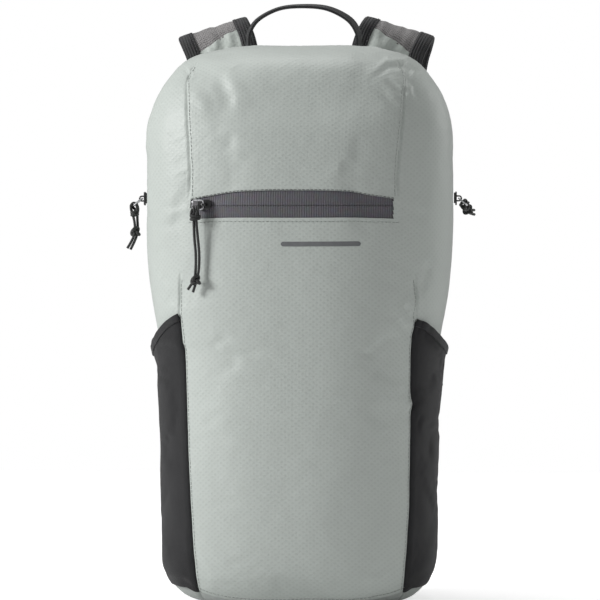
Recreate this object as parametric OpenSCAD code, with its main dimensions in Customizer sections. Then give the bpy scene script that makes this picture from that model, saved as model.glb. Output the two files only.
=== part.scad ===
// Packable daypack: a sewn ripstop body with a front zip pocket, two stretch side
// pockets, a horseshoe main zip, a haul loop and two padded shoulder straps that
// end in ladderlock buckles on lower webbing.
// Frame: +Z up, +X to the right as seen from the front, the front faces -Y.
// The origin is the centre of the flat base.

/* [Body] */
// Height of the body from the floor to the top of the main zip
body_h = 450; // [440:1:460]
// Width of the body at its widest
body_w = 250; // [244:1:256]
// Depth of the body from the front face to the back panel
body_d = 150; // [144:1:156]
// Thickness of a fabric panel
cloth_t = 1; // [0.6:0.1:1.2]

/* [Front pocket zip] */
// Half the length of the zip opening
zip_half = 80; // [70:1:84]
// Radius of the arc that the zip follows round the front
zip_arc_r = 264; // [250:1:290]
// Where the closed slider rests, left of the middle
zip_rest_x = 70; // [60:1:70]

/* [Side pockets] */
// How far the pocket mouth stands off the side panel
pocket_gap = 7.2; // [6:0.2:8]

/* [Sliders and pulls] */
// Width of a zip slider across the zip
slider_w = 8.4; // [7:0.2:9]
// Diameter of the pull cord
cord_d = 2.2; // [1.8:0.1:2.6]
// Radius of the wire of a bail
bail_r = 0.7; // [0.5:0.1:0.9]

/* [Shoulder straps] */
// Width of a shoulder strap over its bindings
strap_w = 60; // [54:1:62]
// Width of each edge binding
binding_w = 12; // [9:1:14]
// Thickness of the foam pad
foam_t = 4; // [3:0.5:5]
// Width of the lower webbing
web_w = 20; // [15:1:22]

/* [Hidden] */

$fn = 48;
sage = "#aeb4ae";
sage_dark = "#939a94";
black = "#2b2c2e";
graphite = "#66666c";
silver = "#c9cacc";

// Scale of the body about its nominal 250 x 150 x 450 mm
scale_xyz = [body_w / 250, body_d / 150, body_h / 450];

// Level rings of the body, from the base to the top:
// [height, half width, front, back, widest line, front seam]
profile = [
    [1.2, 72, -46, 46, 0, 68],
    [3, 86, -57, 51, 0, 76],
    [8, 96.5, -65, 58, 1, 81.5],
    [18, 105, -72, 62, 2, 83.5],
    [34, 110.3, -77, 65, 4, 85],
    [75, 111, -81, 66, 6, 88.5],
    [135, 111.2, -84, 66, 8, 91],
    [200, 112.2, -84, 66, 8, 93.5],
    [262, 121.3, -82, 66, 8, 97],
    [320, 124.5, -78, 66, 8, 84],
    [352, 124.8, -75, 65, 8, 83],
    [385, 123.3, -70, 64, 8, 86],
    [408, 117, -63, 62, 9, 87.5],
    [424, 107.5, -53, 60, 12, 88],
    [436, 97.5, -38, 58, 17, 80],
    [444, 84, -19, 55, 22, 60],
    [448.3, 64, 3, 50, 26, 40],
    [450.6, 34, 18, 38, 28, 20]
];
level_zip = 9;      // the ring at the front pocket zip and the ends of the main zip
level_shoulder = 14; // the ring where the back panel meets the top rear panel
level_top = 17;     // the last ring, under the main zip
front_round = 2.5;  // exponent of the rings' front half
back_round = 4;     // exponent of their flatter back half
back_seam_a = 45;   // ring angle of the seams beside the back panel
zip_z = 320 * scale_xyz.z;
zip_gap = 5;        // panel edge to the middle of the main zip
tape_t = 0.8;
web_t = 1.4;

// ---- Points on the body ----
function spline(p, q, r, s, t) = 0.5 * (2 * q + (r - p) * t
    + (2 * p - 5 * q + 4 * r - s) * t * t + (3 * q - p - 3 * r + s) * t * t * t);
function ring(v) = let (last = len(profile) - 1, i = min(floor(max(v, 0)), last - 1),
    at = function(k) profile[min(max(k, 0), last)])
    spline(at(i - 1), at(i), at(i + 1), at(i + 2), v - i);
function power(x, e) = sign(x) * pow(abs(x), e);
function times(p, q) = [p.x * q.x, p.y * q.y, p.z * q.z];
// Ring angle a runs from -90 at the left side through 0 to 90 at the right side
function front_at(v, a) = let (r = ring(v), e = 2 / front_round) times(scale_xyz,
    [r[1] * power(sin(a), e), r[4] - (r[4] - r[2]) * power(cos(a), e), r[0]]);
function back_at(v, a) = let (r = ring(v), e = 2 / back_round) times(scale_xyz,
    [r[1] * power(sin(a), e), r[4] + (r[3] - r[4]) * power(cos(a), e), r[0]]);
// Angle of the front seam, and of a line d ahead of or behind the widest line
function seam_angle(v) = let (r = ring(v)) asin(min(1, pow(r[5] / r[1], front_round / 2)));
function front_angle(v, d) = let (r = ring(v))
    acos(min(1, pow(d / (r[4] - r[2]), front_round / 2)));
function back_angle(v, d) = let (r = ring(v))
    acos(min(1, pow(d / (r[3] - r[4]), back_round / 2)));
function mix(a, b, t) = a + (b - a) * t;
function unit(p) = p / norm(p);
function flipped(p) = [-p.x, p.y, p.z];

// ---- Solids from points ----
function quad(a, b, c, d) = [[a, d, c], [a, c, b]];
// A sheet between two grids of points, with its rim closed
module grid_solid(outer, inner) {
    nr = len(outer) - 1;
    nc = len(outer[0]) - 1;
    m = (nr + 1) * (nc + 1);
    o = function(i, j) i * (nc + 1) + j;
    n = function(i, j) m + i * (nc + 1) + j;
    points = concat([for (line = outer) for (p = line) p], [for (line = inner) for (p = line) p]);
    faces = concat(
        [for (i = [0 : nr - 1]) for (j = [0 : nc - 1])
            for (f = quad(o(i, j), o(i, j + 1), o(i + 1, j + 1), o(i + 1, j))) f],
        [for (i = [0 : nr - 1]) for (j = [0 : nc - 1])
            for (f = quad(n(i, j), n(i + 1, j), n(i + 1, j + 1), n(i, j + 1))) f],
        [for (j = [0 : nc - 1]) for (f = quad(n(0, j), n(0, j + 1), o(0, j + 1), o(0, j))) f],
        [for (j = [0 : nc - 1])
            for (f = quad(n(nr, j + 1), n(nr, j), o(nr, j), o(nr, j + 1))) f],
        [for (i = [0 : nr - 1]) for (f = quad(n(i, 0), o(i, 0), o(i + 1, 0), n(i + 1, 0))) f],
        [for (i = [0 : nr - 1])
            for (f = quad(n(i + 1, nc), o(i + 1, nc), o(i, nc), n(i, nc))) f]);
    polyhedron(points, faces, convexity = 6);
}
// The surface at(r, c), r up and c so that c cross r points outwards, made solid
// between the offsets off_out(r, c) and off_out(r, c) - thick
module panel(at, rows, cols, off_out = function(r, c) 0, thick = cloth_t) {
    h = 0.002;
    out = function(r, c) unit(cross(at(r, c + h) - at(r, c - h), at(r + h, c) - at(r - h, c)));
    grid = [for (i = [0 : rows]) [for (j = [0 : cols])
        let (r = i / rows, c = j / cols) [at(r, c), out(r, c), off_out(r, c)]]];
    grid_solid([for (line = grid) [for (g = line) g[0] + g[1] * g[2]]],
               [for (line = grid) [for (g = line) g[0] + g[1] * (g[2] - thick)]]);
}
function path_dir(p, i) = unit(p[min(i + 1, len(p) - 1)] - p[max(i - 1, 0)]);
// A flat strip along a path: across[i] is its width direction, lo to hi its width,
// and low to high its place along the outward normal, across x path
module strip(path, across, lo, hi, low, high) {
    frames = [for (i = [0 : len(path) - 1]) let (t = path_dir(path, i),
        w = unit(across[i] - (across[i] * t) * t)) [path[i], w, cross(w, t)]];
    grid_solid([for (f = frames) [f[0] + f[1] * lo + f[2] * high, f[0] + f[1] * hi + f[2] * high]],
               [for (f = frames) [f[0] + f[1] * lo + f[2] * low, f[0] + f[1] * hi + f[2] * low]]);
}
// A round cord with 8 sides along a path
module cord(path, d = cord_d, ref = [0.13, 0.21, 0.1]) {
    sides = 8;
    n = len(path);
    rings = [for (i = [0 : n - 1]) let (t = path_dir(path, i), u = unit(cross(t, ref)),
        w = cross(t, u)) [for (k = [0 : sides - 1])
        path[i] + d / 2 * (u * cos(k * 360 / sides) + w * sin(k * 360 / sides))]];
    polyhedron([for (line = rings) for (p = line) p],
        concat([[for (k = [0 : sides - 1]) k]],
            [for (i = [0 : n - 2]) for (k = [0 : sides - 1]) let (k2 = (k + 1) % sides)
                for (f = quad(i * sides + k, i * sides + k2, (i + 1) * sides + k2,
                              (i + 1) * sides + k)) f],
            [[for (k = [sides - 1 : -1 : 0]) (n - 1) * sides + k]]), convexity = 4);
}
// Smooth points along a chain of hand-set ones, steps for each stretch
function smooth(p, steps) = let (last = len(p) - 1) concat(
    [for (i = [0 : last - 1]) for (k = [0 : steps - 1])
        spline(p[max(i - 1, 0)], p[i], p[i + 1], p[min(i + 2, last)], k / steps)], [p[last]]);

// ---- Body panels ----
// Half height of the opening that the front pocket zip fills, in ring levels
function lens(x) = sqrt(max(0, 1 - pow(x / 84, 4)));
base_outline = concat([for (a = [-90 : 6 : 84]) front_at(0, a)],
                      [for (a = [90 : -6 : -84]) back_at(0, a)]);
module base_panel() {
    color(sage_dark) linear_extrude(1.2 * scale_xyz.z)
        polygon([for (p = base_outline) [p.x, p.y]]);
}
function front_lower_at(r, c) = let (x = 84 * (2 * c - 1), v = r * (level_zip - 0.17 * lens(x)))
    front_at(v, mix(-seam_angle(v), seam_angle(v), c));
module front_panel_lower() {
    color(sage) panel(function(r, c) front_lower_at(r, c), 13, 14);
}
// The upper front wraps right round from one side of the main zip to the other
module front_panel_upper() {
    edge_a = front_angle(level_zip, zip_gap);
    at = function(r, c) let (x = front_at(level_zip, mix(-edge_a, edge_a, c)).x,
        v = mix(level_zip + 0.32 * lens(x), level_top, r))
        front_at(v, mix(-front_angle(v, zip_gap), front_angle(v, zip_gap), c));
    color(sage) panel(at, 12, 22);
}
module side_panel() {
    color(sage) panel(function(r, c) let (v = r * level_zip)
        front_at(v, mix(seam_angle(v), 90, c)), 13, 6);
}
module rear_gusset() {
    gap = function(v) v < level_zip ? 0 : min(1, (v - level_zip) * 8) * zip_gap;
    color(sage) panel(function(r, c) let (v = r * level_shoulder)
        back_at(v, mix(back_angle(v, gap(v)), back_seam_a, c)), 16, 5);
}
module back_panel() {
    color(sage_dark) panel(function(r, c)
        back_at(r * level_shoulder, mix(back_seam_a, -back_seam_a, c)), 12, 8);
}
module top_rear_panel() {
    color(sage) panel(function(r, c) let (v = mix(level_shoulder, level_top, r),
        a = back_angle(v, zip_gap)) back_at(v, mix(a, -a, c)), 5, 16);
}
module mirror_x() { mirror([1, 0, 0]) children(); }
// The pocket bag hangs inside the front panel and is sewn to it all round
lining_drop = 12;
module front_pocket_lining() {
    swell = function(t) 1 - pow(abs(2 * t - 1), 4);
    color(sage_dark) panel(function(r, c) front_lower_at(mix(0.55, 0.97, r), mix(0.08, 0.92, c)),
        9, 10, function(r, c) -cloth_t - 0.2 - lining_drop * swell(r) * swell(c), 0.6);
}

// ---- Front pocket zip: tapes and coil on one arc round the front ----
zip_front_y = profile[level_zip][2] * scale_xyz.y;
zip_axis_y = zip_front_y + 1.1 + zip_arc_r;
zip_rest_a = asin(zip_rest_x / zip_arc_r);
// A bar of the given section round the zip's arc, from -x to x
module arc_bar(x, inner, outer, z0, z1) {
    sweep = 2 * asin(x / zip_arc_r);
    translate([0, zip_axis_y, zip_z]) rotate(-90 - sweep / 2) rotate_extrude(angle = sweep, $fn = 180)
        translate([zip_arc_r + inner, z0]) square([outer - inner, z1 - z0]);
}
module pocket_zip_tape_upper() { color(graphite) arc_bar(zip_half, -tape_t, 0, 0.2, 11); }
module pocket_zip_tape_lower() { color(graphite) arc_bar(zip_half, -tape_t, 0, -11, -0.2); }
module pocket_zip_coil() { color(black) arc_bar(zip_half - 3, 0, 1.1, -1.6, 1.6); }

// ---- Main zip: tapes and coil up one side, over the top and down the other ----
main_half = [for (v = [level_zip : 0.5 : level_top]) let (r = ring(v))
    times(scale_xyz, [r[1], r[4], r[0]])];
main_path = concat(main_half, [[0, 28 * scale_xyz.y, 450.9 * scale_xyz.z]],
    [for (i = [len(main_half) - 1 : -1 : 0]) flipped(main_half[i])]);
main_across = [for (p = main_path) [0, 1, 0]];
tape_w = 12;
module main_zip_tape_front() {
    color(graphite) strip(main_path, main_across, -tape_w, -0.2, -cloth_t - tape_t, -cloth_t);
}
module main_zip_tape_rear() {
    color(graphite) strip(main_path, main_across, 0.2, tape_w, -cloth_t - tape_t, -cloth_t);
}
module main_zip_coil() {
    color(black) strip(main_path, main_across, -1.6, 1.6, -cloth_t, 0.1);
}

// ---- Side pockets: stretch cloth caught in the front and back seams ----
pocket_top = 7.42; // ring level of the mouth at the front seam
pocket_low = 2.3;  // ring level of the pocket's lower edge
// The mouth dips from the front seam to the widest line and on to the back
function mouth(c) = pocket_top - 0.42 * sin(min(90, 150 * c)) - 0.1 * c;
function pocket_at(r, c) = let (v = mix(pocket_low, mouth(c), r), t = c * 1.7)
    t < 1 ? front_at(v, mix(seam_angle(v), 90, t))
          : back_at(v, mix(90, back_seam_a, (t - 1) / 0.7));
function pocket_swell(r, c) = 0.4 + cloth_t + pocket_gap * pow(max(r, 0), 2) * pow(max(0,
    sin(180 * c)), 0.7);
module side_pocket() {
    color(black) panel(function(r, c) pocket_at(mix(0, 0.96, r), c), 9, 12,
        function(r, c) pocket_swell(0.96 * r, c), cloth_t);
}
module pocket_elastic() {
    color(black) panel(function(r, c) pocket_at(mix(0.962, 1, r), c), 1, 12,
        function(r, c) pocket_swell(mix(0.962, 1, r), c) + 0.3, cloth_t + 0.6);
}

// ---- A plain printed bar under the front pocket zip ----
module print_bar() {
    bar_v = 8.46;
    color(graphite) panel(function(r, c) front_at(mix(bar_v - 0.03, bar_v + 0.04, r),
        mix(-2.5, 21, c)), 1, 8, function(r, c) 0.25, 0.25);
}

// ---- Haul loop: webbing on edge, sewn in ahead of the straps ----
loop_y = 49.5 * scale_xyz.y;
loop_w = 10;
loop_z = body_h + 4;
loop_axis_z = body_h + 2;
loop_side = smooth([[45.5, loop_z], [44.6, 464], [37, 474.5], [20, 483], [0, 485.5]], 3);
loop_xz = concat(loop_side, [for (i = [len(loop_side) - 2 : -1 : 0])
    [-loop_side[i].x, loop_side[i].y]]);
module haul_loop() {
    path = [for (p = loop_xz) [p.x, loop_y, p.y]];
    color(black) strip(path, [for (p = path) [0, 1, 0]], -loop_w / 2, loop_w / 2, -1, 1);
}
// The loop's sewn ends, which stay with the body
module haul_loop_tabs() {
    for (side = [-1, 1])
        color(black) translate([side * 45.5 - 1, loop_y - loop_w / 2, loop_axis_z - 7.5])
            cube([2, loop_w, 5.8]);
}

// ---- Zip slider, bail and pull. Local frame: zip along X, outwards +Z ----
slider_len = 11;
plate_z = 1.6;
arch_z = 4.6;       // middle of the arch's bore above the tape
arch_r = 2.6;
arch_bore_r = 1.3;
bail_reach = 8.5;   // from the arch to the bail's far bar
bail_w = 7;
module slider_local() {
    translate([-slider_len / 2, -slider_w / 2, plate_z]) cube([slider_len, slider_w, 1.2]);
    for (side = [-1, 1])
        translate([-slider_len / 2, side * (slider_w / 2 - 0.5) - 0.5, 0.5])
            cube([slider_len, 1, 1.3]);
    difference() {
        union() {
            translate([0, 0, arch_z]) rotate([90, 0, 0])
                cylinder(r = arch_r, h = 2.4, center = true);
            translate([-arch_r, -1.2, 2]) cube([2 * arch_r, 2.4, arch_z - 2]);
        }
        translate([0, 0, arch_z]) rotate([90, 0, 0])
            cylinder(r = arch_bore_r, h = 3, center = true);
    }
}
// The bail lies in the local XY plane with its pin on the local Y axis
module bail_local() {
    rotate([90, 0, 0]) cylinder(r = bail_r, h = bail_w, center = true);
    translate([0, 0, -bail_r]) linear_extrude(2 * bail_r) difference() {
        translate([-bail_r, -bail_w / 2 - bail_r])
            square([bail_reach + 2 * bail_r, bail_w + 2 * bail_r]);
        translate([-bail_r - 1, -bail_w / 2 + bail_r])
            square([bail_reach + 1, bail_w - 2 * bail_r]);
    }
}

// Front pocket slider: outwards is -Y turned round the zip's arc
module at_pocket_slider() {
    translate([0, zip_axis_y, zip_z]) rotate(-zip_rest_a) translate([0, -zip_arc_r, 0])
        rotate([90, 0, 0]) children();
}
pocket_bail_tilt = 35; // how far the bail stands off the tape
module pocket_slider() { color(black) at_pocket_slider() slider_local(); }
module pocket_bail() {
    color(silver) at_pocket_slider() translate([0, 0, arch_z])
        rotate([0, 180 + pocket_bail_tilt, 0]) bail_local();
}
// Main sliders: on the widest line, outwards is +X or -X, the zip runs up
main_x = profile[level_zip][1] * scale_xyz.x;
main_y = profile[level_zip][4] * scale_xyz.y;
main_z = zip_z + 6;
main_bail_drop = 40; // how far the bail hangs below straight out
module at_main_slider() {
    translate([main_x, main_y, main_z]) rotate([0, 90, 0]) children();
}
module main_slider() { color(black) at_main_slider() slider_local(); }
module main_bail() {
    color(silver) at_main_slider() translate([0, 0, arch_z])
        rotate([0, -90 + main_bail_drop, 0]) bail_local();
}

// ---- Pull cords: each is one cord doubled over the bail, drawn as its two halves ----
// Front pocket pull, over the lower wire of the bail
pocket_cord_a = [[-77.1, -74, 318.9], [-76.7, -75.6, 318.2], [-76.3, -76.4, 316.5],
    [-76.2, -76.2, 312.5], [-76, -75.6, 304], [-75, -75.2, 293], [-74, -75.2, 282],
    [-74.2, -75.2, 270], [-75.4, -75.2, 262.5], [-77.2, -75.2, 256.5], [-79, -75, 251]];
pocket_cord_b = [[-77.1, -74, 318.9], [-77.5, -72.6, 318.2], [-77.9, -71.8, 316.5],
    [-78.2, -72.1, 312.5], [-78.4, -73.4, 304], [-77.8, -74.2, 293], [-76.8, -74.6, 282],
    [-76.8, -75, 270], [-77.6, -75.2, 262], [-80, -75.2, 257.5], [-83, -75, 253]];
pocket_knot = [-76.5, -75.2, 260.4];
// Left main pull, over the far bar of the bail
left_cord_a = [[-135.6, 8, 322.9], [-137.3, 8, 322.2], [-138, 8, 320.5], [-137.6, 8, 316],
    [-135.6, 7.4, 309], [-134.8, 7, 302], [-135.6, 6.6, 296], [-138, 6.4, 290.5],
    [-141, 6.4, 285.5]];
left_cord_b = [[-135.6, 8, 322.9], [-133.9, 8, 322.2], [-133.2, 8, 320.5], [-133, 8, 316],
    [-133, 8.8, 309], [-132.8, 9.4, 302], [-133.6, 9.4, 296], [-136, 9.4, 290],
    [-138.8, 9.4, 284.5]];
left_knot = [-134.4, 8, 299];
// Right main pull, over the rear wire of the bail and swung backwards
right_cord_a = [[133.9, 9.1, 322], [134.9, 9.8, 323.3], [135.4, 11.5, 323.8],
    [135.2, 14.5, 322.6], [135.4, 20, 320.4], [135.8, 27, 318.8], [136.6, 34, 317.6],
    [138.4, 39.5, 317], [140.8, 44.5, 316.8]];
right_cord_b = [[133.9, 9.1, 322], [132.8, 9.8, 320.7], [132.3, 11.5, 320.2],
    [132.4, 14.5, 319.6], [133, 20, 318], [133.8, 27, 316.8], [135.6, 34, 315.2],
    [138, 39, 314], [141, 43.5, 313.2]];
right_knot = [136, 31, 316.8];
knot_r = 3.2;
module pull_cord(points) { color(black) cord(smooth(points, 2)); }
module pull_knot(at) { color(black) translate(at) sphere(r = knot_r); }

// ---- Shoulder straps, drawn for the right side ----
// [x, y, z, sideways tilt]: from the top seam over the crest and down behind
strap_points = [
    [66, 61, 436, 16], [70, 66, 452, 16.5], [75, 73, 463, 16.5], [78, 84, 467.5, 16.5],
    [76, 95, 461, 15], [71.5, 102, 446, 12], [66.5, 106.5, 415, 7], [65, 107, 365, 0],
    [68, 104, 310, -4], [74, 99.5, 255, -5], [80, 95.5, 210, -3], [84, 92, 168, 0]
];
strap_spine = smooth(strap_points, 3);
strap_path = [for (p = strap_spine) [p.x, p.y, p.z]];
strap_across = [for (p = strap_spine) [cos(p[3]), 0, -sin(p[3])]];
strap_mid = strap_w / 2 - binding_w; // half the width between the bindings
face_t = 0.7;
module strap_layer(lo, hi, low, high) { strip(strap_path, strap_across, lo, hi, low, high); }
module strap_foam() {
    color("#d8d8d4") strap_layer(-strap_mid, strap_mid, -foam_t / 2, foam_t / 2);
}
module strap_face() {
    color(sage) strap_layer(-strap_mid, strap_mid, foam_t / 2, foam_t / 2 + face_t);
}
module strap_mesh() {
    color(graphite) strap_layer(-strap_mid, strap_mid, -foam_t / 2 - face_t, -foam_t / 2);
}
module strap_binding() {
    color(black) for (side = [-1, 1]) {
        edges = [side * strap_mid, side * strap_w / 2];
        strap_layer(min(edges), max(edges), -foam_t / 2 - face_t, foam_t / 2 + face_t);
    }
}

// ---- Ladderlock, its loop on the strap's end, and the lower webbing ----
lock_x = 84;
lock_y = 92;
lock_bar_z = 152;   // the bar that the strap's loop holds, and the buckle's pivot
lock_bar_r = 1.7;
lock_h = 24;
lock_mid_drop = 9;  // from the pivot bar to the middle bar
lock_slot_w = web_w + 2;
rail_w = 2.6;
module strap_end_loop() {
    color(black) translate([lock_x, lock_y, lock_bar_z]) {
        difference() {
            union() {
                rotate([0, 90, 0]) cylinder(r = 3.1, h = web_w, center = true);
                translate([-web_w / 2, -1.4, 0]) cube([web_w, 2.8, 168 - lock_bar_z]);
            }
            rotate([0, 90, 0]) cylinder(r = lock_bar_r + 0.08, h = web_w + 2, center = true);
        }
    }
}
module ladderlock() {
    color(black) translate([lock_x, lock_y, lock_bar_z]) {
        rotate([0, 90, 0]) cylinder(r = lock_bar_r, h = lock_slot_w + 0.2, center = true);
        for (side = [-1, 1])
            translate([side * (lock_slot_w / 2 + rail_w / 2) - rail_w / 2, -2.4, 2.8 - lock_h])
                cube([rail_w, 4.8, lock_h]);
        translate([-lock_slot_w / 2 - 0.1, -1.6, -lock_mid_drop - 1.5])
            cube([lock_slot_w + 0.2, 3.2, 3]);
        translate([-lock_slot_w / 2 - 0.1, -1.2, 2.8 - lock_h])
            cube([lock_slot_w + 0.2, 2.2, 3.4]);
    }
}
// From the anchor up behind the buckle and over its middle bar
web_points = [[82, 63.4, 36], [82.2, 68, 52], [83, 80, 95], [83.8, 87, 125],
    [84, 88.2, 138], [84, 89.2, 145], [84, 92, 146.9], [84, 94.8, 145], [84, 95.6, 141]];
// The loose end below the buckle, which hangs from it
tail_points = [[84, 95.7, 140.4], [84, 96, 128], [84.5, 97.5, 110], [85.5, 98.4, 85], [86.5, 98, 60]];
module webbing(points) {
    path = smooth(points, 2);
    color(black) strip(path, [for (p = path) [1, 0, 0]], -web_w / 2, web_w / 2,
        -web_t / 2, web_t / 2);
}
// A folded tab in the bottom corner seam that holds the webbing's sewn end
module webbing_anchor() {
    path = [[82, 56, 19], [82, 60.2, 25], [82, 63.4, 35.6]];
    color(black) strip(path, [for (p = path) [1, 0, 0]], -web_w / 2 - 2, web_w / 2 + 2, -1.5, 1.5);
}

base_panel();
front_panel_lower();
front_panel_upper();
side_panel();  // side_panel_right
mirror_x() side_panel();  // side_panel_left
rear_gusset();  // rear_gusset_right
mirror_x() rear_gusset();  // rear_gusset_left
top_rear_panel();
back_panel();
front_pocket_lining();
pocket_zip_tape_upper();
pocket_zip_tape_lower();
pocket_zip_coil();
main_zip_tape_front();
main_zip_tape_rear();
main_zip_coil();
side_pocket();  // side_pocket_right
mirror_x() side_pocket();  // side_pocket_left
pocket_elastic();  // pocket_elastic_right
mirror_x() pocket_elastic();  // pocket_elastic_left
print_bar();
haul_loop_tabs();
haul_loop();
pocket_slider();
pocket_bail();
pull_cord(pocket_cord_a);  // pocket_pull_cord_a
pull_cord(pocket_cord_b);  // pocket_pull_cord_b
pull_knot(pocket_knot);  // pocket_pull_knot
mirror_x() main_slider();  // main_slider_left
mirror_x() main_bail();  // main_bail_left
pull_cord(left_cord_a);  // main_pull_cord_left_a
pull_cord(left_cord_b);  // main_pull_cord_left_b
pull_knot(left_knot);  // main_pull_knot_left
main_slider();  // main_slider_right
main_bail();  // main_bail_right
pull_cord(right_cord_a);  // main_pull_cord_right_a
pull_cord(right_cord_b);  // main_pull_cord_right_b
pull_knot(right_knot);  // main_pull_knot_right
strap_foam();  // strap_foam_right
strap_face();  // strap_face_right
strap_mesh();  // strap_mesh_right
strap_binding();  // strap_binding_right
strap_end_loop();  // strap_end_loop_right
ladderlock();  // ladderlock_right
webbing(web_points);  // lower_webbing_right
webbing(tail_points);  // webbing_tail_right
webbing_anchor();  // webbing_anchor_right
mirror_x() strap_foam();  // strap_foam_left
mirror_x() strap_face();  // strap_face_left
mirror_x() strap_mesh();  // strap_mesh_left
mirror_x() strap_binding();  // strap_binding_left
mirror_x() strap_end_loop();  // strap_end_loop_left
mirror_x() ladderlock();  // ladderlock_left
mirror_x() webbing(web_points);  // lower_webbing_left
mirror_x() webbing(tail_points);  // webbing_tail_left
mirror_x() webbing_anchor();  // webbing_anchor_left
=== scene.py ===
import math

import bmesh
import bpy
import numpy as np
from mathutils import Matrix, Vector, noise


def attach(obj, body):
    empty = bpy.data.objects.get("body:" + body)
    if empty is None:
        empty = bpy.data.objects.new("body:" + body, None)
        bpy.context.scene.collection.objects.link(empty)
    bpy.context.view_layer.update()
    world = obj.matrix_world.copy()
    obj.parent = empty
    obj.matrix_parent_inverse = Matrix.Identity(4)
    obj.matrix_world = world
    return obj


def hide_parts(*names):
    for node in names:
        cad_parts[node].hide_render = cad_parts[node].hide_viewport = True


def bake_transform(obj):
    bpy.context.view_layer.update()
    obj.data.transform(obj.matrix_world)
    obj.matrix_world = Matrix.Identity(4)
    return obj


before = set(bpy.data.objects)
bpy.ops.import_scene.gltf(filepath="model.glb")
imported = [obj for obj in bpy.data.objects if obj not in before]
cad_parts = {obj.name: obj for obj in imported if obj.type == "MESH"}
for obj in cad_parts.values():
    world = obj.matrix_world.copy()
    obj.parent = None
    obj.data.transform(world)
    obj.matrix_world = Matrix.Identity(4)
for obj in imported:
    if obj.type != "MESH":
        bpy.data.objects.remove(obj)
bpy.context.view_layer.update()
MM = 0.001
TAU = 2 * math.pi

# ---- Camera, studio and floor ----
# A long lens a few degrees to the right of the middle, soft light from the upper left,
# and a pale paper floor.
aim = Vector((0, 0.008, 0.2435))
yaw = math.radians(4)
lift = math.radians(1)
stand_off = 2.71
camera = bpy.data.objects.new("camera", bpy.data.cameras.new("camera"))
camera.data.lens = 200
camera.data.sensor_width = 36
camera.location = aim + stand_off * Vector((
    math.sin(yaw) * math.cos(lift), -math.cos(yaw) * math.cos(lift), math.sin(lift)))
camera.rotation_euler = (aim - camera.location).to_track_quat("-Z", "Y").to_euler()
bpy.context.scene.collection.objects.link(camera)
bpy.context.scene.camera = camera
bpy.context.scene.view_settings.view_transform = "Standard"


def soft_light(name, place, watts, size):
    """A square soft box that faces the pack."""
    data = bpy.data.lights.new(name, "AREA")
    data.energy = watts
    data.size = size
    light = bpy.data.objects.new(name, data)
    light.location = place
    light.rotation_euler = (aim - Vector(place)).to_track_quat("-Z", "Y").to_euler()
    bpy.context.scene.collection.objects.link(light)


soft_light("key_left", (-2.3, -0.8, 1.25), 58, 0.8)
soft_light("top_light", (-0.1, 0.4, 2.1), 13, 1.0)
soft_light("fill_right", (1.9, -1.5, 0.8), 6.5, 1.2)
soft_light("back_light", (1.8, 1.2, 1.1), 11, 1.2)

sky = bpy.data.worlds.new("studio")
sky.use_nodes = True
sky_nodes = sky.node_tree.nodes
sky_links = sky.node_tree.links
sky_nodes.clear()
sky_out = sky_nodes.new("ShaderNodeOutputWorld")
sky_out.label = "World"
ambient = sky_nodes.new("ShaderNodeBackground")
ambient.label = "Soft light all round"
ambient.inputs["Color"].default_value = (1, 1, 1, 1)
ambient.inputs["Strength"].default_value = 0.165
backdrop = sky_nodes.new("ShaderNodeBackground")
backdrop.label = "White backdrop"
backdrop.inputs["Color"].default_value = (1, 1, 1, 1)
backdrop.inputs["Strength"].default_value = 1.0
seen = sky_nodes.new("ShaderNodeLightPath")
seen.label = "What is seen directly"
sky_choice = sky_nodes.new("ShaderNodeMixShader")
sky_choice.label = "Backdrop where it is seen"
sky_links.new(seen.outputs["Is Camera Ray"], sky_choice.inputs["Fac"])
sky_links.new(ambient.outputs["Background"], sky_choice.inputs[1])
sky_links.new(backdrop.outputs["Background"], sky_choice.inputs[2])
sky_links.new(sky_choice.outputs["Shader"], sky_out.inputs["Surface"])
for k, node in enumerate((seen, ambient, backdrop, sky_choice, sky_out)):
    node.location = (k * 220, 0)
for label, members in (("Light", (ambient,)), ("What is seen", (seen, backdrop, sky_choice))):
    group = sky_nodes.new("NodeFrame")
    group.label = label
    for node in members:
        node.parent = group
bpy.context.scene.world = sky


def new_material(name):
    """A material with an empty node tree."""
    material = bpy.data.materials.new(name)
    material.use_nodes = True
    material.node_tree.nodes.clear()
    return material, material.node_tree.nodes, material.node_tree.links


def lay_out(columns):
    """Places nodes in columns from left to right."""
    for c, column in enumerate(columns):
        for r, node in enumerate(column):
            node.location = (c * 240, -r * 260)


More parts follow.
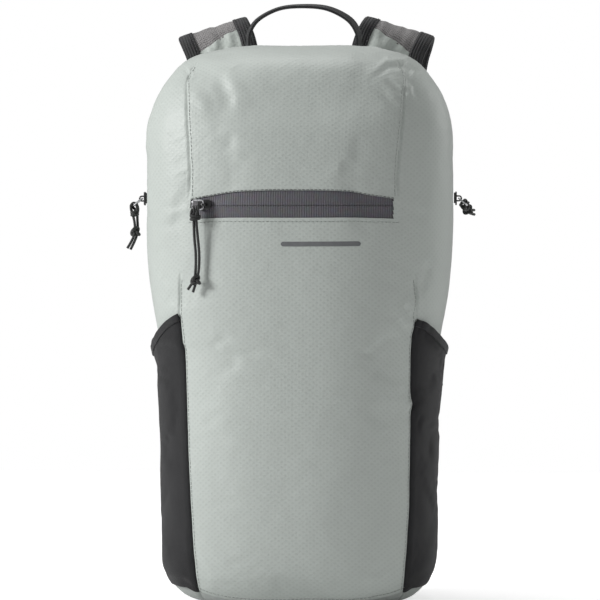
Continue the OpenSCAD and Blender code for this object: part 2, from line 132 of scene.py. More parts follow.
def paper_floor(name, colour):
    """Matt white paper, washed out by light where it is seen directly."""
    material, nodes, links = new_material(name)
    place = nodes.new("ShaderNodeTexCoord")
    place.label = "Place on the floor"
    fibres = nodes.new("ShaderNodeTexNoise")
    fibres.label = "Paper fibres"
    fibres.inputs["Scale"].default_value = 240
    relief = nodes.new("ShaderNodeBump")
    relief.label = "Fibre relief"
    relief.inputs["Strength"].default_value = 0.1
    relief.inputs["Distance"].default_value = 0.0003
    surface = nodes.new("ShaderNodeBsdfPrincipled")
    surface.label = "White paper"
    surface.inputs["Base Color"].default_value = (*colour, 1)
    surface.inputs["Roughness"].default_value = 0.9
    glow = nodes.new("ShaderNodeEmission")
    glow.label = "Sweep washed out by light"
    glow.inputs["Strength"].default_value = 0.55
    washed = nodes.new("ShaderNodeAddShader")
    washed.label = "Paper and wash"
    direct = nodes.new("ShaderNodeLightPath")
    direct.label = "What is seen directly"
    choice = nodes.new("ShaderNodeMixShader")
    choice.label = "Wash lights nothing else"
    out = nodes.new("ShaderNodeOutputMaterial")
    out.label = "Floor"
    links.new(place.outputs["Object"], fibres.inputs["Vector"])
    links.new(fibres.outputs["Fac"], relief.inputs["Height"])
    links.new(relief.outputs["Normal"], surface.inputs["Normal"])
    links.new(surface.outputs["BSDF"], washed.inputs[0])
    links.new(glow.outputs["Emission"], washed.inputs[1])
    links.new(direct.outputs["Is Camera Ray"], choice.inputs["Fac"])
    links.new(surface.outputs["BSDF"], choice.inputs[1])
    links.new(washed.outputs["Shader"], choice.inputs[2])
    links.new(choice.outputs["Shader"], out.inputs["Surface"])
    lay_out([[place], [fibres], [relief], [surface, glow], [washed, direct], [choice], [out]])
    for label, members in (
            ("Paper", (fibres, relief, surface)),
            ("Wash of light", (glow, washed, direct, choice))):
        group = nodes.new("NodeFrame")
        group.label = label
        for node in members:
            node.parent = group
    return material


def mesh_object(name, points, faces, material, smooth=True):
    """A mesh piece with its place in its mesh."""
    mesh = bpy.data.meshes.new(name)
    mesh.from_pydata([tuple(p) for p in points], [], faces)
    mesh.materials.append(material)
    if smooth:
        mesh.shade_smooth()
    piece = bpy.data.objects.new(name, mesh)
    bpy.context.scene.collection.objects.link(piece)
    return piece


floor_size = 1.5
floor = mesh_object("floor", [(-floor_size, -floor_size, 0), (floor_size, -floor_size, 0),
                              (floor_size, floor_size, 0), (-floor_size, floor_size, 0)],
                    [(0, 1, 2, 3)], paper_floor("floor_paper", (0.9, 0.9, 0.9)))

# ---- Body cloth ----
# One coated ripstop shell, cut as panels: it is filled by a cloth simulation, its seams
# are drawn in, and then it is cut along the seam lines into its real panels.
PROFILE = np.array([  # height, half width, front, back, widest line, left and right seam
    [1.2, 72, -46, 46, 0, 63.5, 70], [3, 86, -57, 51, 0, 71.5, 80],
    [8, 96.5, -65, 58, 1, 76.5, 85.5], [18, 105, -72, 62, 2, 78.5, 87.5],
    [34, 109.6, -77, 65, 4, 80, 89], [75, 110, -81, 66, 6, 83, 92],
    [135, 109.6, -84, 66, 8, 86, 93.3], [200, 111.2, -84, 66, 8, 87.8, 93.5],
    [262, 121.3, -82, 66, 8, 91.5, 96.5], [320, 124.5, -78, 66, 8, 84, 84],
    [352, 124.8, -75, 65, 8, 83, 83], [385, 123.3, -70, 64, 8, 86, 86],
    [408, 117, -63, 62, 9, 87.5, 87.5], [424, 107.5, -53, 60, 12, 88, 88],
    [436, 97.5, -38, 58, 17, 80, 80], [444, 84, -19, 55, 22, 60, 60],
    [448.3, 64, 3, 50, 26, 40, 40], [450.6, 34, 18, 38, 28, 20, 20],
    [450.9, 28, 21.5, 34.5, 28, 9, 9]]) * MM
FRONT_ROUND = 2.5       # how square the ring is in front and behind: 2 is an ellipse
BACK_ROUND = 4
ZIP_LEVEL = 9           # rows of the table at the pocket zip, the shoulders and the top
SHOULDER_LEVEL = 14
TOP_LEVEL = 18
ZIP_GAP = 3 * MM        # half the opening in which the main zip lies
FRONT_SEAMS = (1, 11)   # values of s at the seams
ZIP_EDGES = (2, 4, 8, 10)
BACK_SEAMS = (5, 7)


def chain(table, v):
    """Smooth values along the rows of a table."""
    shape = table.shape[1:]
    table = table.reshape(len(table), -1)
    last = len(table) - 1
    v = np.clip(v, 0, last - 1e-6)
    i = np.floor(v).astype(int)
    t = (v - i)[..., None]
    p, q, r, s = (table[np.clip(i + k, 0, last)] for k in (-1, 0, 1, 2))
    found = 0.5 * (2 * q + (r - p) * t + (2 * p - 5 * q + 4 * r - s) * t ** 2
                   + (3 * q - p - 3 * r + s) * t ** 3)
    return found.reshape(found.shape[:-1] + shape)


def signed_power(x, e):
    """A power that keeps the sign."""
    return np.sign(x) * np.abs(x) ** e


def wall(v, s):
    """A point on the body at ring level v. s runs round it: 0 the front middle, 1 the right
    front seam, 2 to 4 the main zip, 5 the back seam, 6 the back middle, and on to 12."""
    left = s > 6
    u = np.where(left, 12 - s, s)
    z, half, front, back, mid, seam_left, seam_right = np.moveaxis(chain(PROFILE, v), -1, 0)
    seam = np.where(left, seam_left, seam_right)
    seam_a = np.arcsin(np.minimum(1, seam / half) ** (FRONT_ROUND / 2))
    front_a = np.arccos(np.minimum(1, ZIP_GAP / (mid - front)) ** (FRONT_ROUND / 2))
    back_a = np.arccos(np.minimum(1, ZIP_GAP / (back - mid)) ** (BACK_ROUND / 2))
    side_a = math.pi / 2
    a = np.select([u <= 1, u <= 2, u <= 3, u <= 4, u <= 5],
                  [u * seam_a, seam_a + (u - 1) * (front_a - seam_a),
                   front_a + (u - 2) * (side_a - front_a), side_a + (u - 3) * (back_a - side_a),
                   back_a + (u - 4) * (math.pi / 4 - back_a)], (6 - u) * math.pi / 4)
    ahead = u <= 3
    e = np.where(ahead, 2 / FRONT_ROUND, 2 / BACK_ROUND)
    x = half * signed_power(np.sin(a), e)
    y = mid + np.where(ahead, front - mid, back - mid) * signed_power(np.cos(a), e)
    return np.stack([np.where(left, -x, x), y, z], -1)


columns_per_side = [16, 14, 1, 1, 8, 16]  # in each stretch of s, before refining
rows_per_block = [3, 55, 3, 34]           # hem, wall, pocket zip band, top
refine = 3


def eased(t):
    """Even steps that get closer towards both ends."""
    return t - 0.07 * np.sin(TAU * t)


def column_places(fine):
    """The value of s at every column, from the back round the left, front and right."""
    right = np.concatenate([k + eased(np.arange(n * fine) / (n * fine))
                            for k, n in enumerate(columns_per_side)])
    return np.concatenate([12 - np.append(right, 6)[:0:-1], right])


dense_count = 1801
dense = np.linspace(0, TOP_LEVEL, dense_count)
dense_mid = wall(dense, np.zeros(dense_count))
dense_side = wall(dense, np.full(dense_count, 3.0))
dense_run = np.concatenate([[0], np.cumsum(
    0.5 * np.linalg.norm(np.diff(dense_mid, axis=0), axis=1)
    + 0.5 * np.linalg.norm(np.diff(dense_side, axis=0), axis=1))])
MM_PER_LEVEL = 32 * MM  # rise of a level at the pocket zip
BAND_HALF = 84 * MM     # half the width of the pocket zip's band
BAND_BELOW = 6.9 * MM   # how far its edges lie below and above its level at its ends
BAND_ABOVE = 3.2 * MM
BAND_ARCH = 5.8 * MM    # how much higher the upper edge is in the middle
HEM_Z = 5 * MM          # the hem in front, and how much higher it is elsewhere
HEM_RISE = 12 * MM
HEM_HALF = 98 * MM


def row_levels(s, fine):
    """Ring levels of every row in every column, with rows on the hem and on both edges of
    the pocket zip."""
    nominal = wall(np.full(len(s), float(ZIP_LEVEL)), s)
    x = np.abs(nominal[:, 0])
    ahead = nominal[:, 1] < 0
    reach = np.clip(x / BAND_HALF, 0, 1)
    low = ZIP_LEVEL - BAND_BELOW / MM_PER_LEVEL * np.ones(len(s))
    high = ZIP_LEVEL + (BAND_ABOVE + BAND_ARCH * (1 - reach ** 2.5)) / MM_PER_LEVEL
    hem_z = HEM_Z + HEM_RISE * np.where(ahead, np.clip(x / HEM_HALF, 0, 1) ** 4, 1)
    hem = np.interp(hem_z, dense_mid[:, 2], dense)
    stops = [np.zeros(len(s)), hem, low, high, np.full(len(s), TOP_LEVEL - 1e-5)]
    rows = []
    for k, n in enumerate(rows_per_block):
        start = np.interp(stops[k], dense, dense_run)
        stop = np.interp(stops[k + 1], dense, dense_run)
        t = np.arange(n * fine) / (n * fine)
        rows.append(np.interp(start + t[:, None] * (stop - start), dense_run, dense))
    rows.append(stops[-1][None])
    return np.concatenate(rows)


def normals_of(grid):
    """Outward unit normals of a grid whose columns close on themselves."""
    across = np.roll(grid, -1, 1) - np.roll(grid, 1, 1)
    up = np.gradient(grid, axis=0)
    n = np.cross(across, up)
    return n / np.linalg.norm(n, axis=-1, keepdims=True)


def spread_out(values, times):
    """Grid values on a grid with that many times the rows and columns."""
    rows, cols = values.shape[:2]
    table = chain(values, np.arange((rows - 1) * times + 1) / times)
    wide = np.concatenate([table[:, -2:], table, table[:, :3]], 1)
    place = 2 + np.arange(cols * times) / times
    return np.moveaxis(chain(np.moveaxis(wide, 1, 0), place), 0, 1)


def blurred(values, reach):
    """Grid values averaged over reach steps, several times over."""
    for _ in range(3):
        padded = np.pad(values, ((reach, reach), (0, 0), (0, 0)), mode="edge")
        values = sum(padded[k:k + len(values)] for k in range(2 * reach + 1)) / (2 * reach + 1)
        values = sum(np.roll(values, k, 1) for k in range(-reach, reach + 1)) / (2 * reach + 1)
    return values


FILL_STEPS = 24
FILL_CAP = 1.0 * MM     # how far a point may move


def fill_with_air(grid, seams):
    """Cloth simulation of the closed shell: the seams shrink, the cloth is a little full,
    and pressure fills it. Returns how far each point moves, without the overall swelling."""
    rows, cols = grid.shape[:2]
    middle = grid[0].mean(0)
    rings = [middle + (grid[0] - middle) * k for k in (0.3, 0.6, 0.85)]
    points = np.concatenate([np.array(rings), grid]).reshape(-1, 3)
    total = rows + len(rings)
    faces = [(i * cols + j, i * cols + (j + 1) % cols,
              (i + 1) * cols + (j + 1) % cols, (i + 1) * cols + j)
             for i in range(total - 1) for j in range(cols)]
    faces.append(tuple(range(cols - 1, -1, -1)))
    faces.append(tuple((total - 1) * cols + j for j in range(cols)))
    shell = mesh_object("shell_for_filling", points, faces, new_material("filling")[0])
    held = shell.vertex_groups.new(name="held")
    held.add(list(range((len(rings) + 1) * cols)), 1.0, "REPLACE")
    drawn_in = shell.vertex_groups.new(name="drawn_in")
    for j, first, last in seams:
        for i in range(first, last + 1):
            for side in (-1, 0, 1):
                index = (i + len(rings)) * cols + (j + side) % cols
                drawn_in.add([index], 1.0 if side == 0 else 0.5, "REPLACE")
    air = shell.modifiers.new("air", "CLOTH")
    air.settings.quality = 6
    air.settings.mass = 0.15
    air.settings.tension_stiffness = 20
    air.settings.compression_stiffness = 20
    air.settings.shear_stiffness = 6
    air.settings.bending_stiffness = 0.25
    air.settings.vertex_group_mass = "held"
    air.settings.vertex_group_shrink = "drawn_in"
    air.settings.shrink_min = -0.03
    air.settings.shrink_max = 0.07
    air.settings.use_pressure = True
    air.settings.uniform_pressure_force = 4
    air.settings.effector_weights.gravity = 0
    air.point_cache.frame_start = 1
    air.point_cache.frame_end = FILL_STEPS
    for step in range(1, FILL_STEPS + 1):
        bpy.context.scene.frame_set(step)
    filled = shell.evaluated_get(bpy.context.evaluated_depsgraph_get())
    moved = np.empty(len(points) * 3, np.float32)
    filled.data.vertices.foreach_get("co", moved)
    moved = moved.reshape(-1, 3)[len(rings) * cols:].reshape(rows, cols, 3) - grid
    bpy.data.objects.remove(shell)
    bpy.context.scene.frame_set(1)
    moved = moved - blurred(moved, 5)
    # the cloth is taut near the base, and on the front below the pocket zip
    moved *= 0.25 + 0.75 * np.clip((grid[..., 2:] - 60 * MM) / (120 * MM), 0, 1)
    in_front = np.clip((-grid[..., 1:2] - 50 * MM) / (20 * MM), 0, 1)
    below_zip = np.clip((310 * MM - grid[..., 2:]) / (30 * MM), 0, 1)
    moved *= 1 - 0.55 * in_front * below_zip
    size = np.linalg.norm(moved, axis=-1, keepdims=True)
    return moved * FILL_CAP * np.tanh(size / FILL_CAP) / np.maximum(size, 1e-9)


coarse_s = column_places(1)
coarse = wall(row_levels(coarse_s, 1), coarse_s[None, :])
coarse_n = sum(columns_per_side)


def column_of(s, fine):
    """The column at a whole stretch of s, in a grid refined that many times."""
    side = sum(columns_per_side[:min(s, 12 - s)]) if s != 6 else sum(columns_per_side)
    return (coarse_n + side if s <= 6 else coarse_n - side) * fine % (2 * coarse_n * fine)


block_ends = np.cumsum(rows_per_block)
swell = np.zeros_like(coarse)
_, zip_low, zip_high, crest = block_ends
seam_rows = [(column_of(s, 1), 0, zip_low - 8) for s in FRONT_SEAMS]
seam_rows += [(column_of(s, 1), zip_high, zip_high + 20) for s in FRONT_SEAMS]
seam_rows += [(column_of(s, 1), 0, zip_high + 24) for s in BACK_SEAMS]
seam_rows += [(column_of(s, 1), zip_high, crest) for s in ZIP_EDGES]
swell = fill_with_air(coarse, seam_rows)

skin_s = column_places(refine)
skin_level = row_levels(skin_s, refine)
skin = wall(skin_level, skin_s[None, :]) + spread_out(swell, refine)
rows, cols = skin.shape[:2]
front_j = coarse_n * refine
hem_i, low_i, high_i = (int(k) * refine for k in block_ends[:3])


def arc_lengths(grid):
    """How far each point lies round the body from the front middle, and up from the base."""
    steps = np.linalg.norm(np.diff(grid, axis=1), axis=-1)
    around = np.concatenate([np.zeros((len(grid), 1)), np.cumsum(steps, 1)], 1)
    around = around - around[:, front_j:front_j + 1]
    rise = np.linalg.norm(np.diff(grid, axis=0), axis=-1)
    up = np.concatenate([np.zeros((1, grid.shape[1])), np.cumsum(rise, 0)])
    return around, up


around, up_run = arc_lengths(skin)


def ripple(at, wavelength, seed):
    """A smooth uneven wave along a line, from -1 to 1."""
    draw = np.random.default_rng(seed)
    waves = [np.sin(at * TAU / (wavelength * k) + draw.uniform(0, TAU))
             for k in (0.62, 0.81, 1.0, 1.37, 1.9)]
    return sum(waves) / 3.2


def seam_line(s, first, last, depth, pucker, seed):
    """A seam drawn into the cloth along a column, with short puckers on both sides of it."""
    j = column_of(s, refine)
    away = np.abs(around - around[:, j:j + 1])
    i = np.arange(rows)[:, None]
    on = np.clip((i - first) / 6, 0, 1) * np.clip((last - i) / 6, 0, 1)
    groove = depth * np.exp(-(away / (1.1 * MM)) ** 2)
    side = np.where(around > around[:, j:j + 1], 7.3 * MM, 0)
    folds = pucker * ripple(up_run + side + 0.25 * away, 9 * MM, seed)
    folds = folds * np.exp(-away / (9 * MM)) * (1 - np.exp(-(away / (2 * MM)) ** 2))
    return on * (folds - groove)


def crease(points, depth, width, facing=1):
    """A fold across the front, along points (x, z): a valley with a ridge beside it."""
    line = np.array(points) * MM
    x = skin[..., 0]
    z = skin[..., 2]
    best = np.full(x.shape, 1e3)
    taper = np.zeros(x.shape)
    beside = np.zeros(x.shape)
    count = len(line) - 1
    for k in range(count):
        step = line[k + 1] - line[k]
        t = np.clip(((x - line[k, 0]) * step[0] + (z - line[k, 1]) * step[1])
                    / (step @ step), 0, 1)
        dx = x - line[k, 0] - t * step[0]
        dz = z - line[k, 1] - t * step[1]
        far = np.hypot(dx, dz)
        nearer = far < best
        best = np.where(nearer, far, best)
        taper = np.where(nearer, np.sin(math.pi * np.clip((k + t) / count, 0.03, 0.97)), taper)
        beside = np.where(nearer, (step[0] * dz - step[1] * dx) / np.linalg.norm(step), beside)
    w = width * MM
    shape = -np.exp(-(best / w) ** 2) + 0.7 * np.exp(-((beside * facing - 1.6 * w) / w) ** 2) \
        * (best < 4 * w)
    return depth * MM * shape * taper ** 0.7 * (skin[..., 1] < 20 * MM)


past = 9                # rows beyond an edge, so that a seam runs right to it
seam_top = low_i - 23   # the lower front seams fade out here, above a deeper tuck
tuck_foot = low_i - 41
dart_end = high_i + 66  # the upper front seams end here
relief = np.zeros((rows, cols))
for first, last, depth, pucker, seed, seams in (
        (-past, seam_top, 0.9, 0.2, 1, FRONT_SEAMS),
        (tuck_foot, seam_top + 1, 0.9, 0.1, 21, FRONT_SEAMS),
        (high_i, dart_end, 1.2, 0.3, 3, FRONT_SEAMS),
        (-past, rows + past, 0.9, 0.4, 5, BACK_SEAMS),
        (high_i, rows + past, 0.5, 0.3, 7, ZIP_EDGES)):
    for number, s in enumerate(seams):
        relief += seam_line(s, first, last, depth * MM, pucker * MM, seed + number)
CREASES = [  # points (x, z), depth, width, side of the ridge
    ([(-91, 430), (-88, 427), (-86, 424), (-88, 420)], 1.4, 1.6, 1),
    ([(-87, 427), (-74, 426), (-62, 421), (-56, 410), (-54, 394)], 1.6, 6, 1),
    ([(-86, 420), (-74, 415), (-66, 405), (-62, 390)], 0.8, 5, -1),
    ([(66, 424), (74, 431), (84, 432), (90, 428), (89, 421)], 1.6, 2.6, 1),
    ([(72, 420), (80, 414), (87, 408)], 1.2, 2.4, 1),
    ([(88, 422), (94, 415), (96, 404)], 0.8, 2.2, -1),
    ([(66, 414), (76, 402), (84, 398)], 0.6, 3.5, 1),
    ([(-84, 322), (-98, 318), (-112, 320)], 0.3, 3, 1),
    ([(-84, 312), (-100, 304), (-118, 300)], 0.35, 4, -1),
    ([(-94, 262), (-106, 258), (-118, 250)], 0.35, 4, 1),
    ([(84, 318), (98, 312), (114, 310)], 0.3, 3.5, 1),
    ([(94, 266), (106, 270), (118, 266)], 0.35, 4, 1),
    ([(-84, 40), (-70, 30), (-48, 24)], 0.4, 4, 1),
    ([(84, 44), (72, 32), (52, 24)], 0.4, 4, 1)]
for points, depth, width, facing in CREASES:
    relief += crease(points, depth, width, facing)
soft = np.array([noise.noise(Vector(p) * 26) + 0.4 * noise.noise(Vector(p) * 70)
                 for p in skin.reshape(-1, 3)]).reshape(rows, cols)
relief += 0.3 * MM * soft
HOLLOW = (402 * MM, 20 * MM, 66 * MM, -4.5 * MM, 0)       # height, half height, half width,
RIDGE = (434 * MM, 11 * MM, 70 * MM, 2.0 * MM, 10 * MM)   # relief, and how far back it goes
for at_z, half_high, half_wide, most, back_y in (RIDGE, HOLLOW):
    relief += most * np.exp(-((skin[..., 2] - at_z) / half_high) ** 2) \
        * np.exp(-(skin[..., 0] / half_wide) ** 4) * (skin[..., 1] < back_y)
settle = np.clip(np.arange(rows)[:, None] / 6, 0, 1) \
    * np.clip((rows - 1 - np.arange(rows)[:, None]) / 6, 0.2, 1)
skin = skin + normals_of(skin) * (relief * settle)[..., None]
skin_n = normals_of(skin)
around, up_run = arc_lengths(skin)
lap_back = around[:, -1] + np.linalg.norm(skin[:, 0] - skin[:, -1], axis=1)


def on_skin(i, j, off=0.0):
    """A point on the shell at a fractional row and column, off its surface."""
    i = np.clip(i, 0, rows - 1.001)
    i0 = np.floor(i).astype(int)
    j0 = np.floor(j).astype(int)
    ti = (i - i0)[..., None]
    tj = (j - j0)[..., None]
    j0 = j0 % cols
    j1 = (j0 + 1) % cols
    found = []
    for grid in (skin, skin_n):
        low = grid[i0, j0] * (1 - tj) + grid[i0, j1] * tj
        high = grid[i0 + 1, j0] * (1 - tj) + grid[i0 + 1, j1] * tj
        found.append(low * (1 - ti) + high * ti)
    n = found[1] / np.linalg.norm(found[1], axis=-1, keepdims=True)
    return found[0] + n * np.asarray(off)[..., None], n


def closed_cloth(name, points, normals, quads, thick, material, uv):
    """A cloth piece with two faces and a rim, shaded with the given normals. quads index
    points, and uv holds a place on the cloth for each corner of each quad."""
    used = sorted({k for q in quads for k in q})
    number = {k: n for n, k in enumerate(used)}
    outer = points[used]
    inner = outer - normals[used] * thick
    count = len(used)
    faces = [tuple(number[k] for k in q) for q in quads]
    corner_uv = [c for q in uv for c in q]
    edges = {}
    for q, face in enumerate(faces):
        for k in range(len(face)):
            pair = (face[k], face[(k + 1) % len(face)])
            edges[pair] = (uv[q][k], uv[q][(k + 1) % len(face)])
    outside = list(faces)
    for q, face in enumerate(outside):
        faces.append(tuple(k + count for k in reversed(face)))
        corner_uv += list(reversed(uv[q]))
    for (a, b), (ua, ub) in edges.items():
        if (b, a) not in edges:
            faces.append((b, a, a + count, b + count))
            corner_uv += [ub, ua, ua, ub]
    piece = mesh_object(name, np.concatenate([outer, inner]), faces, material)
    layer = piece.data.uv_layers.new(name="cloth")
    layer.data.foreach_set("uv", np.array(corner_uv, np.float32).ravel())
    shading = np.concatenate([normals[used], -normals[used]])
    piece.data.normals_split_custom_set_from_vertices([tuple(n) for n in shading])
    return piece


def skin_piece(name, chosen, thick, material, lift=0.0):
    """The chosen cells of the shell as one cloth piece."""
    points = (skin + skin_n * lift).reshape(-1, 3)
    quads = []
    uv = []
    for i, j in zip(*np.nonzero(chosen)):
        k = (j + 1) % cols
        quads.append((i * cols + j, i * cols + k, (i + 1) * cols + k, (i + 1) * cols + j))
        far = (around[i, k], around[i + 1, k]) if k else (lap_back[i], lap_back[i + 1])
        uv.append([(around[i, j], up_run[i, j]), (far[0], up_run[i, k]),
                   (far[1], up_run[i + 1, k]), (around[i + 1, j], up_run[i + 1, j])])
    return closed_cloth(name, points, skin_n.reshape(-1, 3), quads, thick, material, uv)


def ripstop(name, colour, dark, cell, grid_depth, crinkle, rough=0.5):
    """Coated ripstop: a diamond grid of thicker threads over a plain weave, with small
    dents and a slight change of shade from place to place."""
    material, nodes, links = new_material(name)
    cloth = nodes.new("ShaderNodeUVMap")
    cloth.label = "Place on the cloth"
    cloth.uv_map = "cloth"
    rising = nodes.new("ShaderNodeMapping")
    rising.label = "Threads that rise to the right"
    rising.inputs["Rotation"].default_value = (0, 0, math.radians(52))
    falling = nodes.new("ShaderNodeMapping")
    falling.label = "Threads that fall to the right"
    falling.inputs["Rotation"].default_value = (0, 0, math.radians(-52))
    rise = nodes.new("ShaderNodeTexWave")
    rise.label = "Rising grid threads"
    rise.inputs["Scale"].default_value = 0.314 / cell
    fall = nodes.new("ShaderNodeTexWave")
    fall.label = "Falling grid threads"
    fall.inputs["Scale"].default_value = 0.314 / cell
    crossing = nodes.new("ShaderNodeMath")
    crossing.label = "Both thread sets"
    crossing.operation = "MULTIPLY"
    knots = nodes.new("ShaderNodeMapRange")
    knots.label = "Raised only where they cross"
    knots.inputs["From Min"].default_value = 0.15
    knots.inputs["From Max"].default_value = 0.8
    weave = nodes.new("ShaderNodeTexNoise")
    weave.label = "Plain weave grain"
    weave.inputs["Scale"].default_value = 1500
    dents = nodes.new("ShaderNodeTexNoise")
    dents.label = "Soft dents"
    dents.inputs["Scale"].default_value = 75
    dents.inputs["Detail"].default_value = 3
    cloudy = nodes.new("ShaderNodeTexNoise")
    cloudy.label = "Uneven shade"
    cloudy.inputs["Scale"].default_value = 14
    shade = nodes.new("ShaderNodeMix")
    shade.label = "Shade from place to place"
    shade.data_type = "RGBA"
    shade.inputs["A"].default_value = (*[c * 0.95 for c in colour], 1)
    shade.inputs["B"].default_value = (*[min(1, c * 1.04) for c in colour], 1)
    dye = nodes.new("ShaderNodeMix")
    dye.label = "Grid threads a little darker"
    dye.data_type = "RGBA"
    dye.inputs["B"].default_value = (*dark, 1)
    amount = nodes.new("ShaderNodeMath")
    amount.label = "How much darker"
    amount.operation = "MULTIPLY"
    amount.inputs[1].default_value = 0.26
    dent_relief = nodes.new("ShaderNodeBump")
    dent_relief.label = "Dent relief"
    dent_relief.inputs["Strength"].default_value = 1.0
    dent_relief.inputs["Distance"].default_value = crinkle
    grid_relief = nodes.new("ShaderNodeBump")
    grid_relief.label = "Grid relief"
    grid_relief.inputs["Strength"].default_value = 1.0
    grid_relief.inputs["Distance"].default_value = grid_depth
    weave_relief = nodes.new("ShaderNodeBump")
    weave_relief.label = "Weave relief"
    weave_relief.inputs["Strength"].default_value = 0.5
    weave_relief.inputs["Distance"].default_value = 0.00006
    gloss = nodes.new("ShaderNodeMapRange")
    gloss.label = "Grid threads catch more light"
    gloss.inputs["To Min"].default_value = rough
    gloss.inputs["To Max"].default_value = rough - 0.1
    surface = nodes.new("ShaderNodeBsdfPrincipled")
    surface.label = "Coated nylon"
    surface.inputs["Sheen Weight"].default_value = 0.08
    surface.inputs["Sheen Roughness"].default_value = 0.4
    surface.inputs["Specular IOR Level"].default_value = 0.35
    out = nodes.new("ShaderNodeOutputMaterial")
    out.label = "Ripstop"
    links.new(cloth.outputs["UV"], rising.inputs["Vector"])
    links.new(cloth.outputs["UV"], falling.inputs["Vector"])
    links.new(rising.outputs["Vector"], rise.inputs["Vector"])
    links.new(falling.outputs["Vector"], fall.inputs["Vector"])
    links.new(rise.outputs["Fac"], crossing.inputs[0])
    links.new(fall.outputs["Fac"], crossing.inputs[1])
    links.new(crossing.outputs["Value"], knots.inputs["Value"])
    links.new(cloth.outputs["UV"], weave.inputs["Vector"])
    links.new(cloth.outputs["UV"], dents.inputs["Vector"])
    links.new(cloth.outputs["UV"], cloudy.inputs["Vector"])
    links.new(cloudy.outputs["Fac"], shade.inputs["Factor"])
    links.new(shade.outputs["Result"], dye.inputs["A"])
    links.new(knots.outputs["Result"], amount.inputs[0])
    links.new(amount.outputs["Value"], dye.inputs["Factor"])
    links.new(dents.outputs["Fac"], dent_relief.inputs["Height"])
    links.new(knots.outputs["Result"], grid_relief.inputs["Height"])
    links.new(dent_relief.outputs["Normal"], grid_relief.inputs["Normal"])
    links.new(weave.outputs["Fac"], weave_relief.inputs["Height"])
    links.new(grid_relief.outputs["Normal"], weave_relief.inputs["Normal"])
    links.new(knots.outputs["Result"], gloss.inputs["Value"])
    links.new(dye.outputs["Result"], surface.inputs["Base Color"])
    links.new(gloss.outputs["Result"], surface.inputs["Roughness"])
    links.new(weave_relief.outputs["Normal"], surface.inputs["Normal"])
    links.new(surface.outputs["BSDF"], out.inputs["Surface"])
    lay_out([[cloth], [rising, falling, cloudy, dents, weave], [rise, fall], [crossing, knots],
             [amount, gloss, dent_relief], [shade, dye, grid_relief, weave_relief], [surface],
             [out]])
    for label, members in (("Grid of threads", (rising, falling, rise, fall, crossing, knots)),
                           ("Colour", (cloudy, shade, dye, amount)),
                           ("Relief", (dents, weave, dent_relief, grid_relief, weave_relief)),
                           ("Gloss", (gloss,))):
        group = nodes.new("NodeFrame")
        group.label = label
        for node in members:
            node.parent = group
    return material


SAGE = (0.52, 0.56, 0.53)
sage_cloth = ripstop("ripstop_sage", SAGE, (0.40, 0.43, 0.41), 3.4 * MM, 0.00007, 0.0005)
base_cloth = ripstop("ripstop_base", (0.42, 0.45, 0.43), (0.34, 0.36, 0.35), 3.4 * MM,
                     0.00007, 0.0005, 0.55)
cloth_thick = 0.5 * MM

cell_i = np.arange(rows - 1)[:, None] * np.ones((1, cols), int)
cell_s = skin_s[None, :] * np.ones((rows - 1, 1))
next_skin = np.roll(skin, -1, 1)
mid_x = 0.25 * (skin[:-1] + skin[1:] + next_skin[:-1] + next_skin[1:])[..., 0]
cell_ahead = (cell_s < 1) | (cell_s >= 11)
cell_right = (cell_s >= 1) & (cell_s < 6)
wall_rows = (cell_i >= hem_i) & (cell_i < low_i)
band_rows = (cell_i >= low_i) & (cell_i < high_i)
above_wall = cell_i >= low_i
cell_high = 0.5 * (skin_level[:-1] + skin_level[1:]) >= SHOULDER_LEVEL
cell_gusset = ((cell_s >= 3) & (cell_s < 5)) | ((cell_s >= 7) & (cell_s < 9))
cell_zip = above_wall & (((cell_s >= 2) & (cell_s < 4)) | ((cell_s >= 8) & (cell_s < 10)))
cell_side = ((cell_s >= 1) & (cell_s < 3)) | ((cell_s >= 9) & (cell_s < 11))
cell_back = (cell_s >= 5) & (cell_s < 7)
WINDOW_LEFT = -82 * MM
WINDOW_RIGHT = 79 * MM
window = band_rows & cell_ahead & (mid_x > WINDOW_LEFT) & (mid_x < WINDOW_RIGHT)

front_lower = skin_piece("front_panel_lower_cloth", wall_rows & cell_ahead, cloth_thick,
                         sage_cloth)
front_upper = skin_piece("front_panel_upper_cloth", above_wall & ~window & ~cell_zip
                         & (cell_ahead | cell_side), cloth_thick, sage_cloth)
back_cloth = skin_piece("back_panel_cloth", (cell_i >= hem_i) & cell_back & ~cell_high,
                        cloth_thick, base_cloth)
top_rear = skin_piece("top_rear_panel_cloth", cell_high & ~cell_zip & (cell_gusset | cell_back),
                      cloth_thick, sage_cloth)
body_pieces = [front_lower, front_upper, back_cloth, top_rear]
for side, here in (("left", ~cell_right), ("right", cell_right)):
    body_pieces.append(skin_piece("side_panel_" + side + "_cloth", wall_rows & cell_side & here,
                                  cloth_thick, sage_cloth))
    body_pieces.append(skin_piece("rear_gusset_" + side + "_cloth", (cell_i >= hem_i) & cell_gusset
                                  & ~cell_high & ~cell_zip & here, cloth_thick, sage_cloth))
for piece in body_pieces:
    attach(piece, "pack")
    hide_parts(piece.name.removesuffix("_cloth"))

